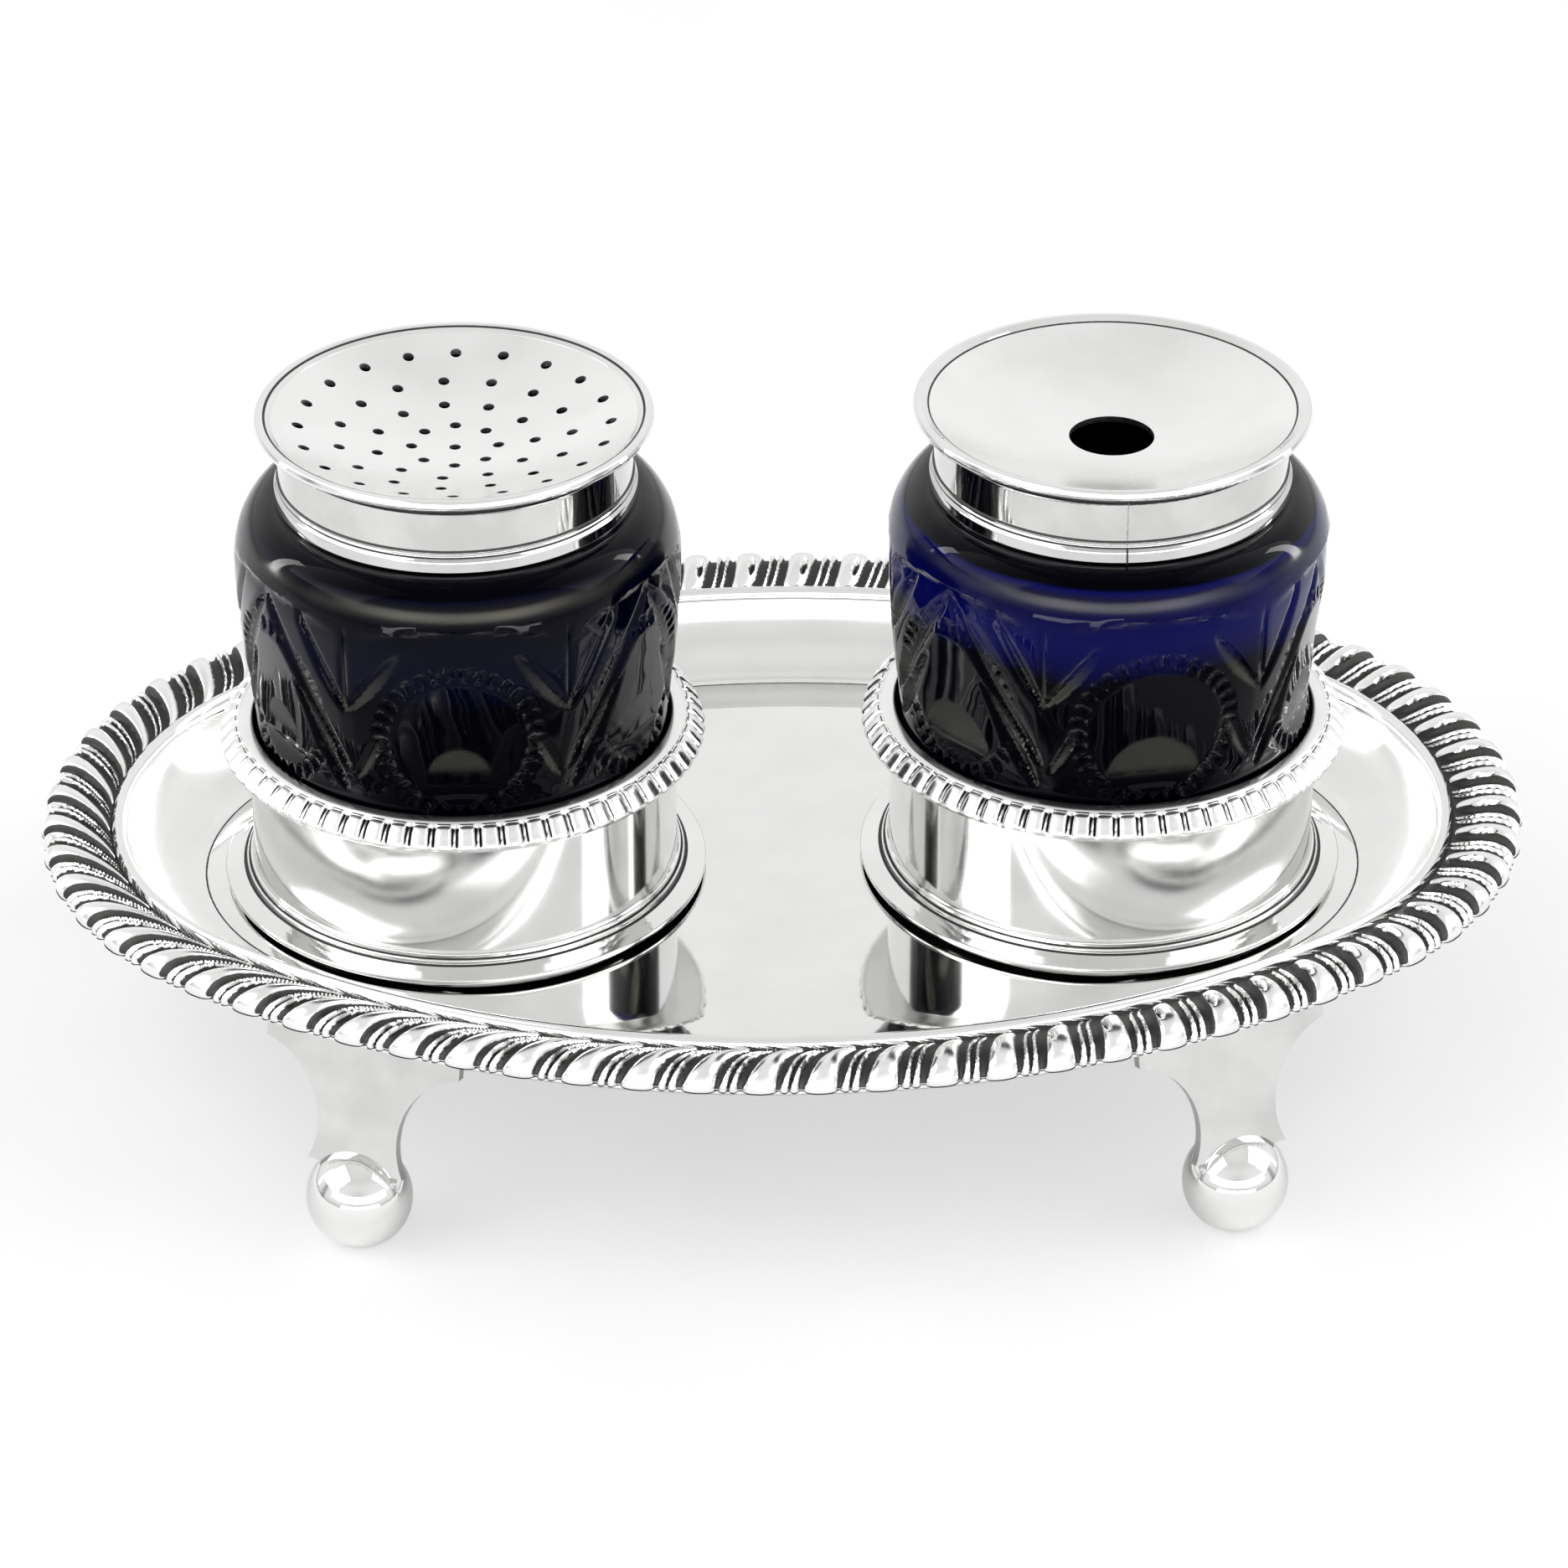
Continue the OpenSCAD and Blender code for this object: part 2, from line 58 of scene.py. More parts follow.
Array = np.ndarray
Thing = bpy.types.Object
Material = bpy.types.Material
Tree = bpy.types.NodeTree
Node = bpy.types.Node
Adder = Callable[..., Node]


# ---- Shapes ----


def smoothstep(low: float, high: float, value: Array) -> Array:
    """Rises from 0 at low to 1 at high along 3t^2 - 2t^3.

    Args:
        low: where the rise starts.
        high: where it ends.
        value: the positions.

    Returns:
        The share at each position.
    """
    t = np.clip((value - low) / (high - low), 0.0, 1.0)
    return t * t * (3.0 - 2.0 * t)


def dome(value: Array) -> Array:
    """Half ellipse over -1 to 1: the square root of 1 - t^2, and 0 where t passes 1."""
    return np.sqrt(np.clip(1.0 - value * value, 0.0, 1.0))


def smooth_curve(points: Sequence[Sequence[float]], count: int) -> Array:
    """Catmull-Rom curve through the points, evenly stepped in their index.

    Args:
        points: the points to pass through.
        count: how many points come back.

    Returns:
        An array of count points.
    """
    given = np.array(points, float)
    ends = np.vstack([2 * given[0] - given[1], given, 2 * given[-1] - given[-2]])
    place = np.linspace(0.0, len(given) - 1.0, count)
    k = np.minimum(place.astype(int), len(given) - 2)
    t = (place - k)[:, None]
    a, b, c, d = (ends[k + i] for i in range(4))
    return 0.5 * (2 * b + (c - a) * t + (2 * a - 5 * b + 4 * c - d) * t**2 + (3 * b - a - 3 * c + d) * t**3)


def rounded(corners: Sequence[Sequence[float]], steps: int = 5, support: float = 0.12) -> Array:
    """Closed outline with its corners turned into arcs.

    Each corner (x, y, radius) becomes an arc that touches both of its sides, and every straight
    stretch gets a point near each end, so that smooth shading stays flat along it.

    Args:
        corners: the corners in order, each with its radius.
        steps: points along each arc, less one.
        support: distance of the extra points from the arcs.

    Returns:
        The outline's points in order.
    """
    given = np.array(corners, float)
    out = []
    for (x, y, radius), before, after in zip(given, np.roll(given, 1, 0), np.roll(given, -1, 0)):
        here = np.array([x, y])
        back, on = before[:2] - here, after[:2] - here
        back_len, on_len = np.hypot(*back), np.hypot(*on)
        back, on = back / back_len, on / on_len
        half = 0.5 * math.acos(float(np.clip(back @ on, -1, 1)))
        reach = min(radius / math.tan(half), 0.49 * back_len, 0.49 * on_len)
        r = reach * math.tan(half)
        axis = (back + on) / max(np.hypot(*(back + on)), 1e-9)
        centre = here + axis * (r / math.sin(half))
        start, end = here + back * reach, here + on * reach
        a0, a1 = (math.atan2(*(p - centre)[::-1]) for p in (start, end))
        sweep = (a1 - a0 + math.pi) % (2 * math.pi) - math.pi
        angles = a0 + sweep * np.linspace(0, 1, steps + 1)
        arc = centre + r * np.stack([np.cos(angles), np.sin(angles)], 1)
        if back_len > 2.5 * (reach + support):
            out.append((start + back * support)[None])
        out.append(arc)
        if on_len > 2.5 * (reach + support):
            out.append((end + on * support)[None])
    return np.vstack(out)


def quads_of(rows: int, columns: int, wrap_rows: bool, wrap_columns: bool) -> Array:
    """Corner numbers of the quads of a grid whose point (i, j) has number i * columns + j.

    Args:
        rows: rows of points.
        columns: points in a row.
        wrap_rows: whether the last row joins the first.
        wrap_columns: whether each row closes on itself.

    Returns:
        An array of quads, four numbers each.
    """
    i = np.arange(rows if wrap_rows else rows - 1)[:, None]
    j = np.arange(columns if wrap_columns else columns - 1)[None, :]
    i2, j2 = (i + 1) % rows, (j + 1) % columns
    corners = [a * columns + b for a, b in ((i, j), (i2, j), (i2, j2), (i, j2))]
    return np.stack(np.broadcast_arrays(*corners), -1).reshape(-1, 4)


def piece(name: str, points: Array, quads: Array, fields: dict[str, Array] | None = None,
          sharp: float = 32.0) -> Thing:
    """Mesh object from quads, with doubles welded and its faces turned outwards.

    Points within a tenth of a micron become one, a quad that loses a corner becomes a triangle,
    and the whole shell is turned over if its signed volume (the sum of a . (b x c) / 6) is
    negative.

    Args:
        name: the object's name.
        points: positions in millimetres, one row each.
        quads: four point numbers a face.
        fields: values a point, kept as attributes.
        sharp: edges that turn more than this many degrees stay sharp.

    Returns:
        The linked object.
    """
    keys = np.round(points * 1e4).astype(np.int64)
    _, first, number = np.unique(keys, axis=0, return_index=True, return_inverse=True)
    number = number.reshape(-1)
    co, faces = points[first] * MM, number[quads]
    kept = faces != np.roll(faces, -1, 1)
    four, three = faces[kept.sum(1) == 4], kept.sum(1) == 3
    tris = faces[three][kept[three]].reshape(-1, 3)
    fans = np.vstack([four[:, [0, 1, 2]], four[:, [0, 2, 3]], tris])
    if np.einsum("ij,ij->", co[fans[:, 0]], np.cross(co[fans[:, 1]], co[fans[:, 2]])) < 0:
        four, tris = four[:, ::-1], tris[:, ::-1]
    mesh = bpy.data.meshes.new(name)
    mesh.from_pydata(co.tolist(), [], four.tolist() + tris.tolist())
    for key, values in (fields or {}).items():
        layer = mesh.attributes.new(key, "FLOAT", "POINT")
        layer.data.foreach_set("value", np.ascontiguousarray(values.reshape(-1)[first], np.float32))
    mesh.shade_smooth()
    mesh.set_sharp_from_angle(angle=math.radians(sharp))
    made = bpy.data.objects.new(name, mesh)
    bpy.context.scene.collection.objects.link(made)
    LOG.info("%s: %d faces", name, len(mesh.polygons))
    return made


def stepped(outline: Array, step: float = 0.15) -> Array:
    """Closed outline with points added so that no side is longer than step.

    Args:
        outline: the outline's points.
        step: the longest side allowed.

    Returns:
        The outline with more points along its long sides.
    """
    ends = np.roll(outline, -1, 0)
    counts = np.maximum(np.ceil(np.hypot(*(ends - outline).T) / step).astype(int), 1)
    which = np.repeat(np.arange(len(outline)), counts)
    t = (np.arange(len(which)) - np.repeat(np.cumsum(counts) - counts, counts)) / counts[which]
    return outline[which] + (ends - outline)[which] * t[:, None]


@dataclass(frozen=True)
class DarkLine:
    """Fine dark line, everything within half of at, along r or z: most are turned lines that hold polish,
    and the one under the cap's rim is painted shade.
    """

    at: float
    half: float
    along: int = 1

    def depth(self, outline: Array) -> Array:
        """Darkness of each outline point: 1 on the line, falling to 0 over as much again."""
        return 1 - smoothstep(self.half, 2 * self.half, np.abs(outline[:, self.along] - self.at))


def turned(name: str, outline: Array, centre_x: float, around: int = 192,
           lines: Sequence[DarkLine] = (), seam: float | None = None) -> Thing:
    """Closed outline of (radius, height) carried once round a vertical axis.

    Args:
        name: the object's name.
        outline: the closed outline in millimetres.
        centre_x: where the axis stands along X.
        around: steps in the turn.
        lines: dark lines on the surface.
        seam: angle from the front, in degrees, of an open joint that shows as a dark line.

    Returns:
        The linked object.
    """
    if lines:
        outline = stepped(outline)
    groove = np.max([line.depth(outline) for line in lines] or [np.zeros(len(outline))], axis=0)
    angle = np.linspace(0, 360, around, endpoint=False)
    crack = np.zeros(around)
    if seam is not None:
        fine = (seam + SEAM_STEPS) % 360
        angle = np.concatenate([angle, fine])
        crack = np.concatenate([crack, [0, 1, 1, 1, 0]])
        order = np.argsort(angle)
        angle, crack = angle[order], crack[order]
    phi = np.radians(angle)[:, None]
    r, z = outline[None, :, 0], outline[None, :, 1]
    grid = np.stack(np.broadcast_arrays(centre_x + r * np.sin(phi), -r * np.cos(phi), z), -1)
    foot = outline[:, 1] < outline[:, 1].min() + SEAM_OPEN_H
    dark = np.maximum(groove[None], crack[:, None] * np.where(foot, 1.0, SEAM_SHUT)[None])
    return piece(name, grid.reshape(-1, 3), quads_of(len(phi), len(outline), True, True), {"groove": dark})


@dataclass(frozen=True)
class Oval:
    """Rim of the tray: two arcs of end_r round the ends and two of side_r along the sides."""

    length: float = 200.0
    width: float = 140.0
    end_r: float = 55.0
    along: float = 4.65

    @property
    def end_c(self) -> float:
        """Distance of an end arc's centre from the middle."""
        return self.length / 2 - self.end_r

    @property
    def side_c(self) -> float:
        """Distance of a side arc's centre from the middle."""
        over = self.width / 2 - self.end_r
        return (self.end_c**2 - over**2) / (2 * over)

    @property
    def side_r(self) -> float:
        """Radius of a side arc."""
        return self.side_c + self.width / 2

    @property
    def turn(self) -> float:
        """Angle of the outward normal where an end arc meets a side arc."""
        return math.atan2(self.side_c, self.end_c)

    @property
    def quarter(self) -> float:
        """Length of a quarter of the rim, measured a distance along inside its edge."""
        side_turn = math.pi / 2 - self.turn
        return (self.end_r - self.along) * self.turn + (self.side_r - self.along) * side_turn

    def normal(self, share: Array) -> Array:
        """Angle of the outward normal after a share of one turn from the middle of the front.

        The turn runs to the right first. Within a quarter the angle grows by length over radius,
        first with the end arc's radius and then with the side arc's, mirrored from quarter to
        quarter.

        Args:
            share: share of one turn.

        Returns:
            The angle in radians, 0 along +X.
        """
        run = ((share - 0.25) % 1.0) * 4 * self.quarter
        q = np.minimum((run / self.quarter).astype(int), 3)
        s = run - q * self.quarter
        s = np.where(q % 2 == 0, s, self.quarter - s)
        end_len = (self.end_r - self.along) * self.turn
        a = np.where(s < end_len, s / (self.end_r - self.along),
                     self.turn + (s - end_len) / (self.side_r - self.along))
        return np.where(q % 2 == 0, q * np.pi / 2 + a, (q + 1) * np.pi / 2 - a)

    def point(self, share: Array, inside: Array) -> Array:
        """Point a distance inside the edge, as (x, y): the arc's centre plus its radius, less that
        distance, along the normal.

        Args:
            share: share of one turn from the middle of the front.
            inside: distance inside the outer edge.

        Returns:
            The points, with x and y on the last axis.
        """
        a = self.normal(share)
        cos, sin = np.cos(a), np.sin(a)
        on_end = np.abs(sin) < math.sin(self.turn)
        r = np.where(on_end, self.end_r, self.side_r) - inside
        x = np.where(on_end, np.sign(cos) * self.end_c, 0.0) + r * cos
        y = np.where(on_end, 0.0, -np.sign(sin) * self.side_c) + r * sin
        return np.stack([x, y], -1)

    def ring(self, section: Array, around: int = 480) -> Array:
        """Section carried round the rim.

        Args:
            section: rows of distance inside the edge and height.
            around: steps in the turn.

        Returns:
            A grid of points, with x, y and z on the last axis.
        """
        share = np.linspace(0, 1, around, endpoint=False)[:, None]
        xy = self.point(*np.broadcast_arrays(share, section[None, :, 0]))
        z = np.broadcast_to(section[None, :, 1], xy.shape[:2])
        return np.concatenate([xy, z[..., None]], -1)


# ---- Finishes ----


class Slot(Enum):
    """Names of the record's slots; the script lists the glass ones with each bottle but puts no piece in a
    slot.
    """

    POLISHED = "polished_silver"
    OXIDISED = "oxidised_silver"
    DARK_COBALT = "dark_cobalt_glass"
    COBALT = "cobalt_glass"


def linear(hex_colour: str) -> tuple[float, float, float, float]:
    """Linear colour of an sRGB hex value.

    Args:
        hex_colour: six hex digits.

    Returns:
        Red, green, blue and an alpha of 1.
    """
    parts = [int(hex_colour[i:i + 2], 16) / 255 for i in (0, 2, 4)]
    r, g, b = (c / 12.92 if c <= 0.04045 else ((c + 0.055) / 1.055) ** 2.4 for c in parts)
    return (r, g, b, 1.0)


def add_node(tree: Tree, kind: str, inputs: dict[Any, Any] | None = None,
             stops: Sequence[tuple[float, str]] = (), **settings: Any) -> Node:
    """Adds a shader node with its settings and inputs.

    An input that is a socket is linked, and one that is a node from its first output in use.

    Args:
        tree: the node tree.
        kind: the node's type, without the ShaderNode in front.
        inputs: values, sockets or nodes by input name or number.
        stops: places and hex colours of a colour ramp.
        **settings: the node's own properties.

    Returns:
        The node.
    """
    made = tree.nodes.new("ShaderNode" + kind)
    for key, value in settings.items():
        setattr(made, key, value)
    for _ in stops[2:]:
        made.color_ramp.elements.new(1.0)
    for k, (place, colour) in enumerate(stops):
        made.color_ramp.elements[k].position = place
        made.color_ramp.elements[k].color = linear(colour)
    for key, value in (inputs or {}).items():
        if isinstance(value, Node):
            value = next(output for output in value.outputs if output.enabled)
        if isinstance(value, bpy.types.NodeSocket):
            tree.links.new(value, made.inputs[key])
        else:
            made.inputs[key].default_value = value
    return made


def new_material(name: str) -> tuple[Material, Adder]:
    """Makes an empty node material.

    Args:
        name: the material's name.

    Returns:
        The material, and add_node for its own tree.
    """
    made = bpy.data.materials.new(name)
    made.use_nodes = True
    made.node_tree.nodes.clear()
    return made, partial(add_node, made.node_tree)


@dataclass(frozen=True)
class SilverFinish:
    """Sterling silver. Polished, it mirrors the room with a few hairlines and a faint ripple from
    the hammer; satin, it blurs it; where an attribute called groove is 1 it turns grey,
    oxidised in real hollows and painted shade elsewhere."""

    name: str
    colour: str = "ECECEB"
    worn: str = "E8E8E7"
    # Grey of the oxidised hollows, also used for painted shade.
    oxide_and_shade_grey: str = "444443"
    roughness: float = 0.045
    spun_more: float = 0.16  # added to the roughness where an attribute called spun is 1
    oxide_and_shade_rough: float = 0.55
    cloud_mm: float = 9.0
    grain_mm: float = 0.7
    ripple_mm: float = 30.0
    ripple: float = 0.02
    hairline_mm: float = 0.5  # drawn coarser than real hairlines, which are too fine to show
    hairline: float = 0.012

    def build(self) -> Material:
        """Makes the node material.

        Returns:
            The material.
        """
        material, add = new_material(self.name)
        place = add("TexCoord").outputs["Object"]
        cloud = add("TexNoise", {"Vector": place, "Scale": 1 / (self.cloud_mm * MM), "Detail": 4.0})
        colour = add("ValToRGB", {0: cloud}, stops=[(0.35, self.worn), (0.6, self.colour)])
        rough = add("MapRange", {"Value": cloud, "From Min": 0.3, "From Max": 0.7,
                    "To Min": self.roughness * 0.85, "To Max": self.roughness * 1.2})
        ripple = add("TexNoise", {"Vector": place, "Scale": 1 / (self.ripple_mm * MM), "Detail": 1.0})
        drawn_out = add("Mapping", {"Vector": place, "Rotation": (0.2, 0.1, 0.5),
                        "Scale": (0.06, 1.0, 1.0)})
        lines = add("TexNoise", {"Vector": drawn_out, "Scale": 1 / (self.hairline_mm * MM), "Detail": 3.0})
        waves = add("Bump", {"Height": ripple, "Strength": self.ripple, "Distance": 1.5 * MM})
        bump = add("Bump", {"Height": lines, "Strength": self.hairline, "Distance": 0.05 * MM,
                   "Normal": waves})
        # Grey where this attribute is set: oxidised in real hollows, and painted shade elsewhere.
        groove = add("Attribute", attribute_name="groove").outputs["Fac"]
        grain = add("TexNoise", {"Vector": place, "Scale": 1 / (self.grain_mm * MM), "Detail": 3.0})
        edge = add("Math", {0: grain, 1: 0.35, 2: groove}, operation="MULTIPLY_ADD")
        mask = add("MapRange", {"Value": edge, "From Min": 0.52, "From Max": 0.78})
        mixed = add("Mix", {"Factor": mask, "A": colour, "B": linear(self.oxide_and_shade_grey)}, data_type="RGBA")
        spun = add("Attribute", attribute_name="spun").outputs["Fac"]
        soft = add("Math", {0: spun, 1: self.spun_more, 2: rough}, operation="MULTIPLY_ADD")
        rough = add("MapRange", {"Value": mask, "To Min": soft, "To Max": self.oxide_and_shade_rough})
        shader = add("BsdfPrincipled", {"Base Color": mixed, "Metallic": 1.0, "Roughness": rough,
                     "Normal": bump})
        add("OutputMaterial", {"Surface": shader})
        return material


@dataclass(frozen=True)
class CobaltGlass:
    """Cobalt glass, cut and polished: painted shade makes it almost black, opaque and dimly reflecting
    where an attribute called painted_shade is 1; deep blue where light comes through, with grey
    reflections on its cuts. An attribute called painted_highlight marks painted highlights."""

    name: str
    colour: str
    sheen: str = "6C6C70"
    # Sheen where painted shade falls, tint of painted highlights, and colour where painted shade falls.
    shaded_sheen: str = "1C1C1E"
    highlight_tint: str = "F4F2DC"
    shade_colour: str = "030309"
    clear: float = 0.9
    roughness: float = 0.015
    matt: float = 0.25
    cord_mm: float = 14.0

    def build(self) -> Material:
        """Makes the node material.

        Returns:
            The material.
        """
        material, add = new_material(self.name)
        place = add("TexCoord").outputs["Object"]
        cords = add("TexNoise", {"Vector": place, "Scale": 1 / (self.cord_mm * MM), "Detail": 2.0})
        bump = add("Bump", {"Height": cords, "Strength": 0.12, "Distance": 1.0 * MM})
        rough = add("MapRange", {"Value": cords, "To Min": self.roughness, "To Max": self.roughness * 3})
        # Painted highlights: the reflection tinted lighter and blurred where this attribute is set.
        painted_highlight = add("Attribute", attribute_name="painted_highlight").outputs["Fac"]
        rough = add("Math", {0: painted_highlight, 1: self.matt, 2: rough}, operation="MULTIPLY_ADD")
        # Painted shade: dark, opaque glass with dim reflections where this attribute is set.
        painted_shade = add("Attribute", attribute_name="painted_shade").outputs["Fac"]
        edge = add("Math", {0: cords, 1: 0.5, 2: painted_shade}, operation="MULTIPLY_ADD")
        mask = add("MapRange", {"Value": edge, "From Min": 0.25, "From Max": 1.1})
        colour, veil = (
            add("Mix", {"Factor": mask, "A": linear(unshaded), "B": linear(shaded)}, data_type="RGBA")
            for unshaded, shaded in ((self.colour, self.shade_colour), (self.sheen, self.shaded_sheen)))
        sheen = add("Mix", {"Factor": painted_highlight, "A": veil, "B": linear(self.highlight_tint)}, data_type="RGBA")
        clear = add("MapRange", {"Value": mask, "To Min": self.clear, "To Max": 0.0})
        shader = add("BsdfPrincipled", {"Base Color": colour, "Roughness": rough, "IOR": 1.52,
                     "Transmission Weight": clear, "Specular Tint": sheen, "Normal": bump})
        add("OutputMaterial", {"Surface": shader})
        return material


def dress(made: Thing, material: Material) -> None:
    """Gives an object one material in place of all it has."""
    made.data.materials.clear()
    made.data.materials.append(material)


def seat(made: Thing, body: str, material: Material, node: str) -> None:
    """Dresses a new piece, rides it on a body and lets it stand for a CAD node.

    Args:
        made: the piece.
        body: the body that carries it.
        material: its material.
        node: the CAD node that it replaces.
    """
    dress(made, material)
    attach(made, body)
    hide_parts(node)


# ---- The stand ----


@dataclass(frozen=True)
class Border:
    """Cast gadroon border in four quarters: broad lobes and pairs of thin reeds between them.

    A place on it is a share of one turn from the middle of the front, and v, which is 0 at the
    outer and 1 at the inner edge of the strip. Within a pitch a lobe lies up to lobe_share.
    """

    rim: Oval
    flange_z: float = 29.3
    width: float = 9.3
    lobes: int = 68
    steps_a_lobe: int = 40
    across: int = 40
    sweep_base: float = 2.0
    sweep_more: float = 8.0
    swept_at: float = 0.82
    sweep_from: float = 0.12
    lobe_share: float = 0.6
    lobe_half: float = 0.275
    reeds_at: tuple[float, float] = (0.705, 0.866)
    reed_half: float = 0.068
    reed_h: float = 0.66
    # Middle, half width and depth of the punched mark, across the pitch and the strip.
    mark_at: tuple[float, float] = (0.19, 0.62)
    mark_half: tuple[float, float] = (0.06, 0.13)
    mark_deep: float = 1.2

    def commas(self, share: Array) -> Array:
        """How far the lobes are swept into commas: a raised cosine round swept_at, to the 2.5."""
        return (0.5 + 0.5 * np.cos(2 * np.pi * (share - self.swept_at))) ** 2.5

    def phase(self, share: Array, v: Array) -> Array:
        """Place within a pitch, 0 to 1: share times the lobes, less a sweep that grows as v^2."""
        swept = self.sweep_base + self.sweep_more * self.commas(share)
        sweep = swept * self.lobes / (4 * self.rim.quarter)
        inward = np.clip((v - self.sweep_from) / (1 - self.sweep_from), 0, 1)
        return (share * self.lobes - sweep * inward ** 2) % 1.0

    @staticmethod
    def crown(t: Array) -> Array:
        """Flat-topped dome over -1 to 1: (1 - |t|^2.6)^0.6."""
        return (1 - np.clip(np.abs(t), 0, 1) ** 2.6) ** 0.6

    def relief(self, share: Array, v: Array) -> Array:
        """Relief of the border, 0 in its grooves and 1 on the crown of a lobe.

        A lobe is a flat-topped dome across the pitch, whose width shrinks to its inner end; the
        two reeds are lower and narrower ones. Where the lobes are straight, a small punched mark
        dips into each.

        Args:
            share: share of one turn.
            v: place across the strip.

        Returns:
            The relief.
        """
        phase = self.phase(share, v)
        tail = np.minimum(1.0, 2.2 * self.commas(share))
        taper = 1 - (0.2 + 0.24 * tail) * smoothstep(0.15, 0.9, v)
        end = 0.93 + 0.07 * tail
        lobe_w = self.lobe_half * taper * (1 - np.clip((v - end + 0.18) / 0.18, 0, 1) ** 2.4) ** 0.5
        reed_w = self.reed_half * (1 - 0.5 * smoothstep(0.1, 0.6, v)) * smoothstep(1.02, 0.86, v)
        lobe = self.crown((phase - self.lobe_share / 2) / np.maximum(lobe_w, 1e-4))
        reeds = [self.reed_h * self.crown((phase - at) / np.maximum(reed_w, 1e-4)) for at in self.reeds_at]
        on_lobe = phase < self.lobe_share
        (at_phase, at_v), (half_phase, half_v) = self.mark_at, self.mark_half
        mark = np.clip(1 - ((phase - at_phase) / half_phase) ** 2 - ((v - at_v) / half_v) ** 2, 0, 1)
        crown = np.where(on_lobe, lobe, np.maximum(*reeds))
        return np.maximum(crown - self.mark_deep * mark * (1 - tail) * on_lobe, 0)

    def shade(self, share: Array, v: Array) -> Array:
        """Painted shade on the flank of a lobe, in place of the dark reflections it would show.

        The flank is the one towards the front of the tray. The dark wedge is broad at the wire,
        thins outwards, and grows with the square root of the sine of the turn.

        Args:
            share: share of one turn.
            v: place across the strip.

        Returns:
            The darkness, from 0 to 1.
        """
        phase = self.phase(share, v)
        side = np.sin(2 * np.pi * share)
        apart = np.where(side > 0, phase, self.lobe_share - phase)
        reach = np.sqrt(np.abs(side)) * (0.08 + 0.17 * v)
        dark = 1 - smoothstep(reach - 0.06, reach + 0.03, apart)
        return dark * (phase < self.lobe_share) * (np.abs(side) > 0.05)

    def quarter(self, name: str, start: float) -> Thing:
        """One quarter of the border as a closed casting.

        Each point lies between two sections, that of the grooves and that of the crowns, at the
        share that the relief gives; a flat back closes the section and a cap each end.

        Args:
            name: the object's name.
            start: share of the turn at which the quarter starts.

        Returns:
            The linked object.
        """
        crown = smooth_curve([(0.12, 0), (0.02, 0.65), (0.3, 1.75), (1.3, 2.75), (3.0, 3.18), (5.0, 2.95),
                              (6.9, 2.25), (8.4, 1.45), (self.width, 0.9)], self.across)
        floor = smooth_curve([(0.95, 0), (0.85, 0.4), (1.0, 0.9), (1.75, 1.6), (3.3, 1.95), (5.1, 1.8),
                              (7.0, 1.3), (8.4, 0.85), (self.width, 0.6)], self.across)
        count = self.lobes // 4 * self.steps_a_lobe + 1
        share = (start + 0.25 * np.linspace(0, 1, count))[:, None]
        v = np.linspace(0, 1, self.across)[None, :]
        rise = self.relief(*np.broadcast_arrays(share, v))
        section = floor[None] + rise[..., None] * (crown - floor)[None]
        wide = np.broadcast_to(share, rise.shape)
        top = np.concatenate([self.rim.point(wide, section[..., 0]), section[..., 1:] + self.flange_z], -1)
        back = top[:, ::-1].copy()
        back[..., 2] = self.flange_z
        grid = np.concatenate([top, back], 1)
        # Oxidised in the hollows between lobes and reeds, with painted shade on the lobes' flanks.
        oxide_and_painted_shade = np.maximum(1 - smoothstep(0.14, 0.36, rise), self.shade(*np.broadcast_arrays(share, v)))
        groove = np.concatenate([oxide_and_painted_shade * smoothstep(0.04, 0.16, v), np.zeros_like(rise)], 1)
        columns = 2 * self.across
        body = quads_of(count, columns, False, True)
        k = np.arange(self.across - 1)
        cap = np.stack([k, k + 1, columns - 2 - k, columns - 1 - k], 1)
        last = (count - 1) * columns
        quads = np.vstack([body, cap, last + cap[:, ::-1]])
        return piece(name, grid.reshape(-1, 3), quads, {"groove": groove}, sharp=50)


